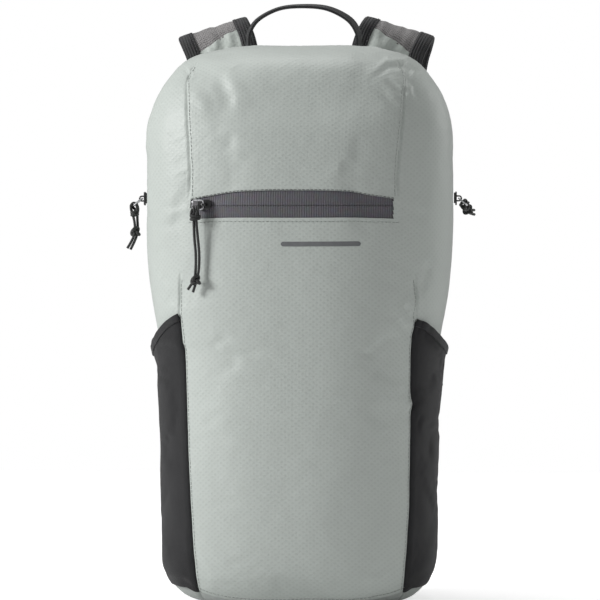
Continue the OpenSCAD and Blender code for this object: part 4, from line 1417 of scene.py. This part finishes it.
# ---- Main zip ----
# A coil zip up one side, over the top and down the other, its tapes sewn behind the
# panels' edges.
bridge_points = 20      # over the top, between the two sides
TAPE_HALF = 6.5         # millimetres
TEETH_HALF = 0.3
side_rows = np.arange(low_i, rows)
centre = []
toward_back = []
zip_normal = []
for s, behind, ahead in ((3, 4, 2), (9, 8, 10)):
    j, j_back, j_front = (column_of(k, refine) for k in (s, behind, ahead))
    centre.append(0.5 * (skin[side_rows, j_back] + skin[side_rows, j_front]))
    toward_back.append(unit_rows(skin[side_rows, j_back] - skin[side_rows, j_front]))
    zip_normal.append(skin_n[side_rows, j])
bridge = np.linspace(centre[0][-1], centre[1][-1], bridge_points + 2)[1:-1]
main_centre = np.concatenate([centre[0], bridge, centre[1][::-1]])
main_back = np.concatenate([toward_back[0], np.tile((0, 1.0, 0), (bridge_points, 1)),
                            toward_back[1][::-1]])
main_normal = np.concatenate([zip_normal[0], np.tile((0, 0, 1.0), (bridge_points, 1)),
                              zip_normal[1][::-1]])
main_normal = unit_rows(main_normal)
for half, low_w, high_w in (("front", -TAPE_HALF, -TEETH_HALF), ("rear", TEETH_HALF, TAPE_HALF)):
    w = np.linspace(low_w, high_w, 9)[:, None, None] * MM
    grid = main_centre + main_back * w - main_normal * (0.8 * MM + w ** 2 / (60 * MM))
    half_tape = grid_cloth("main_zip_tape_" + half + "_strip",
                           grid.transpose(1, 0, 2)[:, ::-1], TAPE_T, zip_tape)
    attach(half_tape, "pack")
    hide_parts("main_zip_tape_" + half)
main_teeth = laid_row("main_zip_teeth", [main_centre - main_normal * 0.6 * MM], *main_turns,
                      coil_plastic, [main_back])
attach(main_teeth, "pack")
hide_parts("main_zip_coil")

# ---- Haul loop ----
# Black webbing on edge, its ends sewn into the top seam.
loop_web = ribbed_tape("webbing_black", (0.045, 0.045, 0.048), (0.012, 0.012, 0.013),
                       1.8 * MM, 0.0005)
LOOP_W = 9.6 * MM
LOOP_T = 2.6 * MM
LOOP_TWIST = 0.34       # how far the webbing turns on its way up and down
loop_half = [(45.5, 444.6), (45.5, 449), (45.5, 454), (44.6, 464), (37, 474.5), (20, 483),
             (0, 485)]
loop_points = [(x, 49.5, z) for x, z in loop_half]
loop_points += [(-x, 49.5, z) for x, z in loop_half[-2::-1]]
loop_line = smooth_line(loop_points, 8)
lean = LOOP_TWIST * np.sin(np.linspace(0, TAU, len(loop_line)))[:, None]
loop_across = np.array((0, 1.0, 0.24)) + lean * np.array((0.9, 0, 0.4))
haul_loop = swept("haul_loop_webbing", loop_line, flat_section(LOOP_W, LOOP_T), loop_across,
                  loop_web)
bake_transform(haul_loop)
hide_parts("haul_loop", "haul_loop_tabs")

# ---- Shoulder straps ----
# A thin foam pad between a cover and a breathable mesh, bound on both edges with ribbed
# tape. The cover's first stretch is ripstop, then open mesh from the crest on.
STRAP_POINTS = [  # x, y, z, sideways tilt in degrees
    (66, 61, 436, 16), (70, 66, 452, 16.5), (75, 73, 463, 16.5), (78, 84, 467.5, 16.5),
    (76, 95, 461, 15), (71.5, 102, 446, 12), (66.5, 106.5, 415, 7), (65, 107, 365, 0),
    (68, 104, 310, -4), (74, 99.5, 255, -5), (80, 95.5, 210, -3), (84, 92, 168, 0)]
STRAP_MID = 18 * MM     # half the width between the bindings' middles
FOAM_T = 4 * MM
COVER_T = 0.4 * MM
FOLD_HEIGHT = 1.1 * MM
cover_cols = 34
under_rows = 220


def spacer_mesh(name, thread, hole_shade, cell):
    """Knitted spacer mesh: round holes in staggered rows, painted dark as the shade inside them."""
    material, nodes, links = new_material(name)
    cloth = nodes.new("ShaderNodeUVMap")
    cloth.label = "Place on the mesh"
    cloth.uv_map = "cloth"
    stagger = nodes.new("ShaderNodeMapping")
    stagger.label = "Cell size"
    stagger.inputs["Scale"].default_value = (1 / cell, 0.7 / cell, 1)
    cells = nodes.new("ShaderNodeTexVoronoi")
    cells.label = "Holes"
    cells.inputs["Scale"].default_value = 1
    cells.inputs["Randomness"].default_value = 0.25
    rim = nodes.new("ShaderNodeMapRange")
    rim.label = "Hole and thread"
    rim.inputs["From Min"].default_value = 0.18
    rim.inputs["From Max"].default_value = 0.42
    cloudy = nodes.new("ShaderNodeTexNoise")
    cloudy.label = "Crushed places"
    cloudy.inputs["Scale"].default_value = 60
    cloudy.inputs["Detail"].default_value = 3
    shade = nodes.new("ShaderNodeMix")
    shade.label = "Uneven thread shade"
    shade.data_type = "RGBA"
    shade.inputs["A"].default_value = (*[x * 0.55 for x in thread], 1)
    shade.inputs["B"].default_value = (*[min(1, x * 1.5) for x in thread], 1)
    # The hole colour is painted shade: the depth seen through each hole is painted dark.
    tint = nodes.new("ShaderNodeMix")
    tint.label = "Painted shade in the holes"
    tint.data_type = "RGBA"
    tint.inputs["A"].default_value = (*hole_shade, 1)
    relief_node = nodes.new("ShaderNodeBump")
    relief_node.label = "Mesh relief"
    relief_node.inputs["Strength"].default_value = 0.9
    relief_node.inputs["Distance"].default_value = 0.0004
    surface = nodes.new("ShaderNodeBsdfPrincipled")
    surface.label = "Mesh yarn"
    surface.inputs["Roughness"].default_value = 0.6
    surface.inputs["Sheen Weight"].default_value = 0.25
    out = nodes.new("ShaderNodeOutputMaterial")
    out.label = "Spacer mesh"
    links.new(cloth.outputs["UV"], stagger.inputs["Vector"])
    links.new(stagger.outputs["Vector"], cells.inputs["Vector"])
    links.new(cells.outputs["Distance"], rim.inputs["Value"])
    links.new(cloth.outputs["UV"], cloudy.inputs["Vector"])
    links.new(cloudy.outputs["Fac"], shade.inputs["Factor"])
    links.new(shade.outputs["Result"], tint.inputs["B"])
    links.new(rim.outputs["Result"], tint.inputs["Factor"])
    links.new(rim.outputs["Result"], relief_node.inputs["Height"])
    links.new(tint.outputs["Result"], surface.inputs["Base Color"])
    links.new(relief_node.outputs["Normal"], surface.inputs["Normal"])
    links.new(surface.outputs["BSDF"], out.inputs["Surface"])
    lay_out([[cloth], [stagger, cloudy], [cells], [rim, shade], [tint, relief_node], [surface],
             [out]])
    for label, members in (
            ("Holes", (stagger, cells, rim, relief_node)),
            ("Thread", (cloudy, shade, tint))):
        group = nodes.new("NodeFrame")
        group.label = label
        for node in members:
            node.parent = group
    return material


warm_mesh = spacer_mesh("mesh_warm_grey", (0.25, 0.24, 0.24), (0.07, 0.066, 0.066), 1.5 * MM)
strap_cloth = ripstop("ripstop_strap", (0.50, 0.54, 0.51), (0.38, 0.41, 0.39), 3.4 * MM,
                      0.00007, 0.0012)
foam = moulded("foam_pale", (0.6, 0.6, 0.58), 0.9, 0.0001)
binding_tape = ribbed_tape("binding_black", (0.05, 0.05, 0.053), (0.009, 0.009, 0.01),
                           2.3 * MM, 0.0006)
spine = smooth_line([p[:3] for p in STRAP_POINTS], 16)
tilt = np.radians(chain(np.array([[p[3]] for p in STRAP_POINTS], float),
                        np.linspace(0, 11, len(spine)))[:, 0])
for side_name, side in (("left", -1), ("right", 1)):
    body = "shoulder_strap_" + side_name
    line = spine * (side, 1, 1)
    across = np.stack([np.cos(tilt), 0 * tilt, -np.sin(tilt) * side], -1)
    tangent = unit_rows(np.gradient(line, axis=0))
    across = unit_rows(across - (across * tangent).sum(-1, keepdims=True) * tangent)
    normal = np.cross(across, tangent)
    strap_run = np.concatenate([[0], np.cumsum(np.linalg.norm(np.diff(line, axis=0), axis=1))])
    pad = swept("strap_pad_" + side_name, line, flat_section(35 * MM, 3.6 * MM, 24, 0.35), across,
                foam)
    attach(pad, body)
    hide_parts("strap_foam_" + side_name)

    def strap_sheet(run, w, off):
        """Points over the strap at distances along it and across it, off its middle plane."""
        place = [np.stack([np.interp(run, strap_run, table[:, k]) for k in range(3)], -1)
                 for table in (line, across, normal)]
        return place[0] + place[1] * w[..., None] + place[2] * off[..., None]

    w_line = np.linspace(-18.6, 18.6, cover_cols)[None, :] * MM
    outward = side * w_line / STRAP_MID
    edge = (23.5 - 4.2 * outward - 2.2 * outward ** 2 + 0.7 * np.sin(w_line / (3.1 * MM))) * MM
    crown = (1 - (w_line / STRAP_MID) ** 4)
    for part, start, stop, count, cover, fold in (
            ("face", 0 * edge, edge, 40, strap_cloth, 1.5),
            ("cover", edge - 1.5 * MM, 0 * edge + strap_run[-1], 240, warm_mesh, 0.8)):
        run = start + np.linspace(0, 1, count)[:, None] * (stop - start)
        w = w_line + 0 * run
        rumple = np.array([noise.noise(Vector((a * 120, b * 45, side * 7.0)))
                           + 0.5 * noise.noise(Vector((a * 230, b * 90, side * 5.0)))
                           for a, b in zip(w.ravel(), run.ravel())]).reshape(w.shape)
        off = FOAM_T / 2 + (0.75 if part == "face" else 0.35) * MM + crown * 0.5 * MM \
            + fold * FOLD_HEIGHT * rumple * np.clip(crown * 2, 0, 1)
        off = np.maximum(off, FOAM_T / 2 + 0.2 * MM)
        sheet = strap_sheet(run, w, off)
        if np.sum(np.cross(sheet[0, 1] - sheet[0, 0], sheet[1, 0] - sheet[0, 0])
                  * normal[0]) < 0:
            sheet = sheet[:, ::-1]
        piece = grid_cloth("strap_" + part + "_" + side_name + "_sheet", sheet, COVER_T, cover)
        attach(piece, body)
        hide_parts("strap_face_" + side_name)
    run = np.linspace(0, strap_run[-1], under_rows)[:, None] + 0 * w_line
    w = w_line + 0 * run
    sheet = strap_sheet(run, w, -(FOAM_T / 2 + 0.35 * MM + crown * 0.3 * MM) + 0 * run)[:, ::-1]
    lower = grid_cloth("strap_mesh_" + side_name + "_sheet", sheet, COVER_T, warm_mesh)
    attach(lower, body)
    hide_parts("strap_mesh_" + side_name)
    folded = np.array([(17.6, 3.35), (24, 3.2), (28.4, 2.75), (29.8, 1.6), (30.1, 0), (29.8, -1.6),
                       (28.4, -2.7), (24, -3.0), (17.6, -3.1), (17.6, -2.3), (24, -2.0),
                       (27.6, -1.4), (27.6, 1.4), (24, 2.1), (17.6, 2.5)]) * MM
    end_at = np.linspace(strap_run[-1] - 11 * MM, strap_run[-1] + 1.2 * MM, 8)
    end_line = strap_sheet(end_at, np.zeros(8), np.zeros(8))
    end_line += np.linspace(0, 1.2, 8)[:, None] * tangent[-1] * MM
    end_section = flat_section(59 * MM, 8.2 * MM, 40, 0.12)
    for label, path, section, way in (("_tape", line, folded, across),
                                      ("_tape_2", line, folded * (-1, 1), across),
                                      ("_end", end_line, end_section, across[-8:])):
        binding = swept("strap_binding_" + side_name + label, path, section, way, binding_tape)
        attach(binding, body)
        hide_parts("strap_binding_" + side_name)
    rows_of_thread = [line + across * (w_at * MM) + normal * (off_at * MM)
                      for w_at in (-19.2, 19.2) for off_at in (3.5, -3.25)]
    strap_stitches = laid_row("strap_stitches_" + side_name, rows_of_thread, *stitch, dark_thread)
    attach(strap_stitches, body)

# ---- Ladderlocks and lower webbing ----
# A webbing loop on the strap's end holds a ladderlock buckle; the lower webbing runs from
# a tab in the corner seam up through it and hangs down as a tail.
buckle_plastic = moulded("buckle_black", (0.02, 0.02, 0.021), 0.45, 0.00004)
LOCK = np.array((84, 92, 152)) * MM
WEB_W = 20 * MM
WEB_T = 1.4 * MM
LOCK_W = 23 * MM        # length of the bars between the sides
LOCK_SIDE = 12.3 * MM
LOCK_ROUND = 0.8 * MM


def rounded_boxes(name, boxes, radius, material):
    """Boxes, each (centre, size), with rounded edges."""
    shell = bmesh.new()
    for place, size in boxes:
        made = bmesh.ops.create_cube(shell, size=1)
        bmesh.ops.scale(shell, vec=size, verts=made["verts"])
        bmesh.ops.translate(shell, vec=place, verts=made["verts"])
    bmesh.ops.bevel(shell, geom=list(shell.edges), offset=radius, segments=3, profile=0.7,
                    affect="EDGES", clamp_overlap=True)
    mesh = bpy.data.meshes.new(name)
    shell.to_mesh(mesh)
    shell.free()
    mesh.materials.append(material)
    mesh.shade_smooth()
    piece = bpy.data.objects.new(name, mesh)
    bpy.context.scene.collection.objects.link(piece)
    return piece


web_points = [(82, 63.4, 36), (82.2, 68, 52), (83, 80, 95), (83.8, 87, 125), (84, 88.2, 138),
              (84, 89.2, 145), (84, 92, 146.9), (84, 94.8, 145), (84, 95.6, 141)]
tail_points = [(84, 95.7, 140.4), (84, 96, 128), (84.5, 97.5, 110), (85.5, 98.4, 85),
               (86.5, 98, 60)]
hold_points = [(84, 93.2, 178), (84, 93.6, 165), (84, 94.4, 156), (84, 94.3, 150.6),
               (84, 92, 149.2), (84, 89.7, 150.6), (84, 89.6, 156), (84, 90.4, 165),
               (84, 90.8, 178)]
anchor_points = [(82, 55.5, 19), (82, 60.2, 25), (82, 63.0, 36)]
for side_name, side in (("left", -1), ("right", 1)):
    strap_body = "shoulder_strap_" + side_name
    lock_body = "ladderlock_" + side_name
    x_way = (1.0, 0, 0)
    hold = swept("strap_end_loop_" + side_name + "_web", smooth_line(hold_points, 5) * (side, 1, 1),
                 flat_section(WEB_W, WEB_T), x_way, loop_web)
    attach(hold, strap_body)
    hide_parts("strap_end_loop_" + side_name)
    x0, y0, z0 = LOCK * (side, 1, 1)
    boxes = [((x0, y0, z0), (LOCK_W, 2.3 * MM, 2.3 * MM)),
             ((x0, y0, z0 - 9 * MM), (LOCK_W, 2.6 * MM, 2.6 * MM)),
             ((x0, y0 - 0.1 * MM, z0 - 19.5 * MM), (LOCK_W, 2.4 * MM, 3.6 * MM))]
    for edge_side in (-1, 1):
        boxes.append(((x0 + edge_side * LOCK_SIDE, y0, z0 - 9.2 * MM),
                      (2.8 * MM, 4.8 * MM, 24 * MM)))
    lock = rounded_boxes("ladderlock_" + side_name + "_moulding", boxes, LOCK_ROUND, buckle_plastic)
    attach(lock, lock_body)
    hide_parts("ladderlock_" + side_name)
    web_line = smooth_line(web_points, 6) * (side, 1, 1)
    meet = 20  # the point of the line where the strap's part ends and the buckle's begins
    for label, part, first, second, start, end in (
            ("_web", web_line[:meet + 1], "pack", strap_body, (0.082, 0.064, 0.040),
             (0.0838, 0.086, 0.116)),
            ("_web_turn", web_line[meet:], strap_body, lock_body, (0.0838, 0.087, 0.125),
             (0.084, 0.088, 0.137))):
        web = swept("lower_webbing_" + side_name + label, part, flat_section(WEB_W, WEB_T), x_way,
                    loop_web)
        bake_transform(web)
        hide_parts("lower_webbing_" + side_name)
    tail = swept("webbing_tail_" + side_name + "_web", smooth_line(tail_points, 8) * (side, 1, 1),
                 flat_section(WEB_W, WEB_T), x_way, loop_web)
    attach(tail, lock_body)
    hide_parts("webbing_tail_" + side_name)
    anchor = swept("webbing_anchor_" + side_name + "_web",
                   smooth_line(anchor_points, 6) * (side, 1, 1),
                   flat_section(24 * MM, 2.8 * MM), x_way, loop_web)
    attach(anchor, "pack")
    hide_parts("webbing_anchor_" + side_name)

# ---- Zip sliders and bails ----
# Painted die-cast sliders with an arch on top, each holding a bent wire bail.
slider_paint = moulded("slider_paint", (0.012, 0.012, 0.012), 0.32, 0.00001, 0.5)


def plated_wire(name, colour, rough):
    """Bright plated wire with fine draw marks."""
    material, nodes, links = new_material(name)
    place = nodes.new("ShaderNodeTexCoord")
    place.label = "Place on the pack"
    drawn = nodes.new("ShaderNodeTexNoise")
    drawn.label = "Draw marks"
    drawn.inputs["Scale"].default_value = 900
    drawn.inputs["Detail"].default_value = 3
    gloss = nodes.new("ShaderNodeMapRange")
    gloss.label = "Uneven polish"
    gloss.inputs["To Min"].default_value = rough
    gloss.inputs["To Max"].default_value = rough + 0.15
    surface = nodes.new("ShaderNodeBsdfPrincipled")
    surface.label = "Plating"
    surface.inputs["Base Color"].default_value = (*colour, 1)
    surface.inputs["Metallic"].default_value = 1.0
    out = nodes.new("ShaderNodeOutputMaterial")
    out.label = "Plated wire"
    links.new(place.outputs["Object"], drawn.inputs["Vector"])
    links.new(drawn.outputs["Fac"], gloss.inputs["Value"])
    links.new(gloss.outputs["Result"], surface.inputs["Roughness"])
    links.new(surface.outputs["BSDF"], out.inputs["Surface"])
    lay_out([[place], [drawn], [gloss], [surface], [out]])
    for label, members in (("Polish", (drawn, gloss)), ("Metal", (surface,))):
        group = nodes.new("NodeFrame")
        group.label = label
        for node in members:
            node.parent = group
    return material


bail_wire = plated_wire("wire_silver", (0.75, 0.75, 0.77), 0.2)
ARCH_Z = 4.6 * MM       # height of the bail's axis in the arch
BAIL_R = 0.7 * MM
BAIL_REACH = 8.5 * MM
BAIL_W = 7 * MM
REST_ANGLE = math.asin(70 * MM / ZIP_ARC_R)
at_pocket = Matrix.Translation((0, ZIP_AXIS_Y, ZIP_Z)) @ Matrix.Rotation(-REST_ANGLE, 4, "Z") \
    @ Matrix.Translation((0, -ZIP_ARC_R, 0)) @ Matrix.Rotation(math.pi / 2, 4, "X")
at_right = Matrix.Translation((124.5 * MM, 8 * MM, 326 * MM)) \
    @ Matrix.Rotation(math.pi / 2, 4, "Y")
to_left = Matrix.Diagonal((-1, 1, 1, 1))


def placed(piece, matrix):
    """Moves a piece's mesh to its place and turns its faces outwards."""
    piece.data.transform(matrix)
    shell = bmesh.new()
    shell.from_mesh(piece.data)
    bmesh.ops.recalc_face_normals(shell, faces=shell.faces)
    shell.to_mesh(piece.data)
    shell.free()
    return piece


def slider(name, matrix):
    """Top plate in a shield outline, two flanges and a pierced arch."""
    shell = bmesh.new()
    outline = [(-5.5, -2.9), (-4.6, -3.9), (1.5, -4.2), (4.6, -3.7), (5.5, -2.2), (5.5, 2.2),
               (4.6, 3.7), (1.5, 4.2), (-4.6, 3.9), (-5.5, 2.9)]
    plate_low = 1.6 * MM
    plate_t = 1.2 * MM
    plate = shell.faces.new([shell.verts.new((x * MM, y * MM, plate_low)) for x, y in outline])
    raised = bmesh.ops.extrude_face_region(shell, geom=[plate])["geom"]
    bmesh.ops.translate(shell, vec=(0, 0, plate_t),
                        verts=[v for v in raised if isinstance(v, bmesh.types.BMVert)])
    for flange in (-1, 1):
        made = bmesh.ops.create_cube(shell, size=1)
        bmesh.ops.scale(shell, vec=(8.6 * MM, 0.9 * MM, 1.5 * MM), verts=made["verts"])
        bmesh.ops.translate(shell, vec=(-0.4 * MM, flange * 3.65 * MM, 1.25 * MM),
                            verts=made["verts"])
    bmesh.ops.bevel(shell, geom=list(shell.edges), offset=0.28 * MM, segments=2, profile=0.7,
                    affect="EDGES", clamp_overlap=True)
    steps = 20
    ring_count = 8
    arch = []
    for k in range(steps + 1):
        a = math.pi * k / steps
        for q in range(ring_count):
            b = TAU * q / ring_count
            reach = 1.95 * MM + 0.62 * MM * math.cos(b)
            arch.append(shell.verts.new((reach * math.cos(a), 1.2 * MM * math.sin(b),
                                         ARCH_Z + reach * math.sin(a) if 0 < k < steps
                                         else 2.4 * MM)))
    for k in range(steps):
        for q in range(ring_count):
            q2 = (q + 1) % ring_count
            shell.faces.new((arch[k * ring_count + q], arch[k * ring_count + q2],
                             arch[(k + 1) * ring_count + q2], arch[(k + 1) * ring_count + q]))
    shell.faces.new(arch[:ring_count])
    shell.faces.new(arch[-ring_count:])
    mesh = bpy.data.meshes.new(name)
    shell.to_mesh(mesh)
    shell.free()
    mesh.materials.append(slider_paint)
    mesh.shade_smooth()
    piece = bpy.data.objects.new(name, mesh)
    bpy.context.scene.collection.objects.link(piece)
    return placed(piece, matrix)


def bail(name, matrix):
    """A closed loop of wire round the slider's arch, in the local XY plane."""
    corner = 1.6 * MM
    far = BAIL_REACH - corner
    path = []
    half_w = BAIL_W / 2
    for x, side, base in ((corner, -1, 180), (far, -1, 270), (far, 1, 0), (corner, 1, 90)):
        for k in range(7):
            a = math.radians(base + 15 * k)
            path.append((x + corner * math.cos(a), side * (half_w - corner)
                         + corner * math.sin(a), 0))
    wire = swept(name, path, round_section(BAIL_R, 10), (0, 0, 1), bail_wire, True)
    return placed(wire, matrix)


pocket_bail_at = at_pocket @ Matrix.Translation((0, 0, ARCH_Z)) \
    @ Matrix.Rotation(math.radians(180 + 35), 4, "Y")
main_bail_at = at_right @ Matrix.Translation((0, 0, ARCH_Z)) \
    @ Matrix.Rotation(math.radians(-90 + 40), 4, "Y")
for slider_node, bail_node, slider_at, bail_at in (
        ("pocket_slider", "pocket_bail", at_pocket, pocket_bail_at),
        ("main_slider_right", "main_bail_right", at_right, main_bail_at),
        ("main_slider_left", "main_bail_left", to_left @ at_right, to_left @ main_bail_at)):
    runner = slider(slider_node + "_casting", slider_at)
    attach(runner, slider_node)
    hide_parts(slider_node)
    wire = bail(bail_node + "_wire", bail_at)
    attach(wire, bail_node)
    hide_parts(bail_node)

# ---- Pull cords ----
# One thin braided cord doubled through each bail with a lark's head, both strands tied in
# an overhand knot with two short tails.


def braided_cord(name, colour, gap_shade):
    """Braided sheath: two sets of slanting strands, with painted shade in the gaps between them."""
    material, nodes, links = new_material(name)
    cloth = nodes.new("ShaderNodeUVMap")
    cloth.label = "Place on the cord"
    cloth.uv_map = "cloth"
    slant = nodes.new("ShaderNodeMapping")
    slant.label = "Strand slant one way"
    slant.inputs["Rotation"].default_value = (0, 0, math.radians(40))
    other = nodes.new("ShaderNodeMapping")
    other.label = "Strand slant the other way"
    other.inputs["Rotation"].default_value = (0, 0, math.radians(-40))
    one = nodes.new("ShaderNodeTexWave")
    one.label = "Strands one way"
    one.inputs["Scale"].default_value = 420
    two = nodes.new("ShaderNodeTexWave")
    two.label = "Strands the other way"
    two.inputs["Scale"].default_value = 420
    braid = nodes.new("ShaderNodeMath")
    braid.label = "Braid"
    braid.operation = "MAXIMUM"
    # The gap colour is painted shade, darkening the gaps between the strands.
    tint = nodes.new("ShaderNodeMix")
    tint.label = "Painted shade in the gaps"
    tint.data_type = "RGBA"
    tint.inputs["A"].default_value = (*gap_shade, 1)
    tint.inputs["B"].default_value = (*colour, 1)
    relief_node = nodes.new("ShaderNodeBump")
    relief_node.label = "Braid relief"
    relief_node.inputs["Strength"].default_value = 0.9
    relief_node.inputs["Distance"].default_value = 0.00015
    surface = nodes.new("ShaderNodeBsdfPrincipled")
    surface.label = "Cord sheath"
    surface.inputs["Roughness"].default_value = 0.55
    surface.inputs["Sheen Weight"].default_value = 0.15
    out = nodes.new("ShaderNodeOutputMaterial")
    out.label = "Braided cord"
    links.new(cloth.outputs["UV"], slant.inputs["Vector"])
    links.new(cloth.outputs["UV"], other.inputs["Vector"])
    links.new(slant.outputs["Vector"], one.inputs["Vector"])
    links.new(other.outputs["Vector"], two.inputs["Vector"])
    links.new(one.outputs["Fac"], braid.inputs[0])
    links.new(two.outputs["Fac"], braid.inputs[1])
    links.new(braid.outputs["Value"], tint.inputs["Factor"])
    links.new(braid.outputs["Value"], relief_node.inputs["Height"])
    links.new(tint.outputs["Result"], surface.inputs["Base Color"])
    links.new(relief_node.outputs["Normal"], surface.inputs["Normal"])
    links.new(surface.outputs["BSDF"], out.inputs["Surface"])
    lay_out([[cloth], [slant, other], [one, two], [braid], [tint, relief_node], [surface],
             [out]])
    for label, members in (
            ("Strands", (slant, other, one, two, braid)),
            ("Colour", (tint,)),
            ("Relief", (relief_node,))):
        group = nodes.new("NodeFrame")
        group.label = label
        for node in members:
            node.parent = group
    return material


sheath = braided_cord("cord_black", (0.022, 0.024, 0.022), (0.006, 0.006, 0.006))
CORD_D = 2.2 * MM
KNOT_SIZE = 3.7 * MM
HEAD_THICK = 0.52       # radius of the cord in the lark's head, in diameters
CORD_UP = (0.31, 0.22, 0.93)    # a direction that no cord runs along
PULLS = {
    "pocket_pull": (
        "pocket_pull", "",
        [(-76.2, -76.2, 312.5), (-76, -75.6, 304), (-75, -75.2, 293), (-74, -75.2, 282),
         (-74.2, -75.2, 270), (-75.4, -75.2, 262.5), (-77.2, -75.2, 256.5), (-79, -75, 251)],
        [(-78.2, -72.1, 312.5), (-78.4, -73.4, 304), (-77.8, -74.2, 293), (-76.8, -74.6, 282),
         (-76.8, -75, 270), (-77.6, -75.2, 262), (-80, -75.2, 257.5), (-83, -75, 253)],
        (-76.5, -75.2, 260.4), (-77.1, -74, 316.5), (-0.94, -0.336, 0)),
    "main_pull_left": (
        "main_pull", "_left",
        [(-137.6, 8, 316), (-135.6, 7.4, 309), (-134.8, 7, 302), (-135.6, 6.6, 296),
         (-138, 6.4, 290.5), (-141, 6.4, 285.5)],
        [(-133, 8, 316), (-133, 8.8, 309), (-132.8, 9.4, 302), (-133.6, 9.4, 296),
         (-136, 9.4, 290), (-138.8, 9.4, 284.5)],
        (-134.4, 8, 299), (-135.6, 8, 320.5), (0, 1, 0)),
    "main_pull_right": (
        "main_pull", "_right",
        [(135.2, 14.5, 322.6), (135.4, 20, 320.4), (135.8, 27, 318.8), (136.6, 34, 317.6),
         (138.4, 39.5, 317), (140.8, 44.5, 316.8)],
        [(132.4, 14.5, 319.6), (133, 20, 318), (133.8, 27, 316.8), (135.6, 34, 315.2),
         (138, 39, 314), (141, 43.5, 313.2)],
        (136, 31, 316.8), (133.9, 11.5, 322), (0.766, 0, -0.643))}


def overhand_knot(name, place, axis, size):
    """A closed trefoil of cord, which is the shape of a tight overhand knot."""
    t = np.linspace(0, TAU, 73)[:-1]
    flat = np.stack([np.sin(t) + 2 * np.sin(2 * t), np.cos(t) - 2 * np.cos(2 * t),
                     -1.5 * np.sin(3 * t)], -1) * size / 3
    turn = np.array(Vector((0, 0, 1)).rotation_difference(Vector(axis)).to_matrix())
    path = flat @ turn.T + np.array(place) * MM
    return placed(swept(name, path, round_section(CORD_D * 0.6, 10), CORD_UP, sheath, True),
                  Matrix.Identity(4))


for body, (stem, suffix, line_a, line_b, knot_at, hold_at, wire_way) in PULLS.items():
    proud = (0, -1.1, 0) if stem == "pocket_pull" else (0, 0, 0)
    knot = overhand_knot(stem + "_knot" + suffix + "_tied", np.add(knot_at, proud),
                         (0.2, 0.9, 0.4), KNOT_SIZE)
    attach(knot, body)
    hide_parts(stem + "_knot" + suffix)
    wire_dir = Vector(wire_way).normalized()
    top = np.array(hold_at) * MM
    ends = [smooth_line(p, 3) for p in (line_a, line_b)]
    down = unit_rows((ends[0][0] + ends[1][0]) / 2 - top)
    out = np.cross(np.array(wire_dir), down)
    head_parts = []
    for q, end in enumerate(ends):
        side_way = (q - 0.5) * 2.7 * MM * np.array(wire_dir)
        over = [end[0] + down * 0.6 * MM, end[0] * 0.4 + (top + side_way + out * 2.8 * MM) * 0.6,
                top + side_way * 1.3 + out * 2.1 * MM - down * 0.4 * MM,
                top + side_way * 1.3 - down * 2.0 * MM,
                top + side_way * 1.4 - out * 2.1 * MM - down * 0.4 * MM,
                top + side_way * 2.0 - out * 2.7 * MM + down * 3.4 * MM,
                top + side_way * 1.6 - out * 2.0 * MM + down * 6.8 * MM]
        head_parts.append(swept(body + "_head_%d" % q, smooth_line(np.array(over) / MM, 5),
                                round_section(CORD_D * HEAD_THICK, 10), CORD_UP, sheath))
    for turn, drop in enumerate((5.4, 7.6)):
        band = [top + down * drop * MM + math.cos(a) * np.array(wire_dir) * 3.4 * MM
                + math.sin(a) * out * 2.5 * MM + down * 0.5 * MM * math.sin(a + turn)
                for a in np.linspace(0, TAU, 33)[:-1]]
        band = swept(body + "_head_turn_%d" % turn, band,
                     round_section(CORD_D * HEAD_THICK, 10), tuple(down), sheath, True)
        head_parts.append(placed(band, Matrix.Identity(4)))
    for part in head_parts:
        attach(part, body)
    for letter, end in zip("ab", ends):
        strand = swept(body + "_strand_" + letter, end, round_section(CORD_D / 2, 12),
                       CORD_UP, sheath)
        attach(strand, body)
        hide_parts(stem + "_cord" + suffix + "_" + letter)
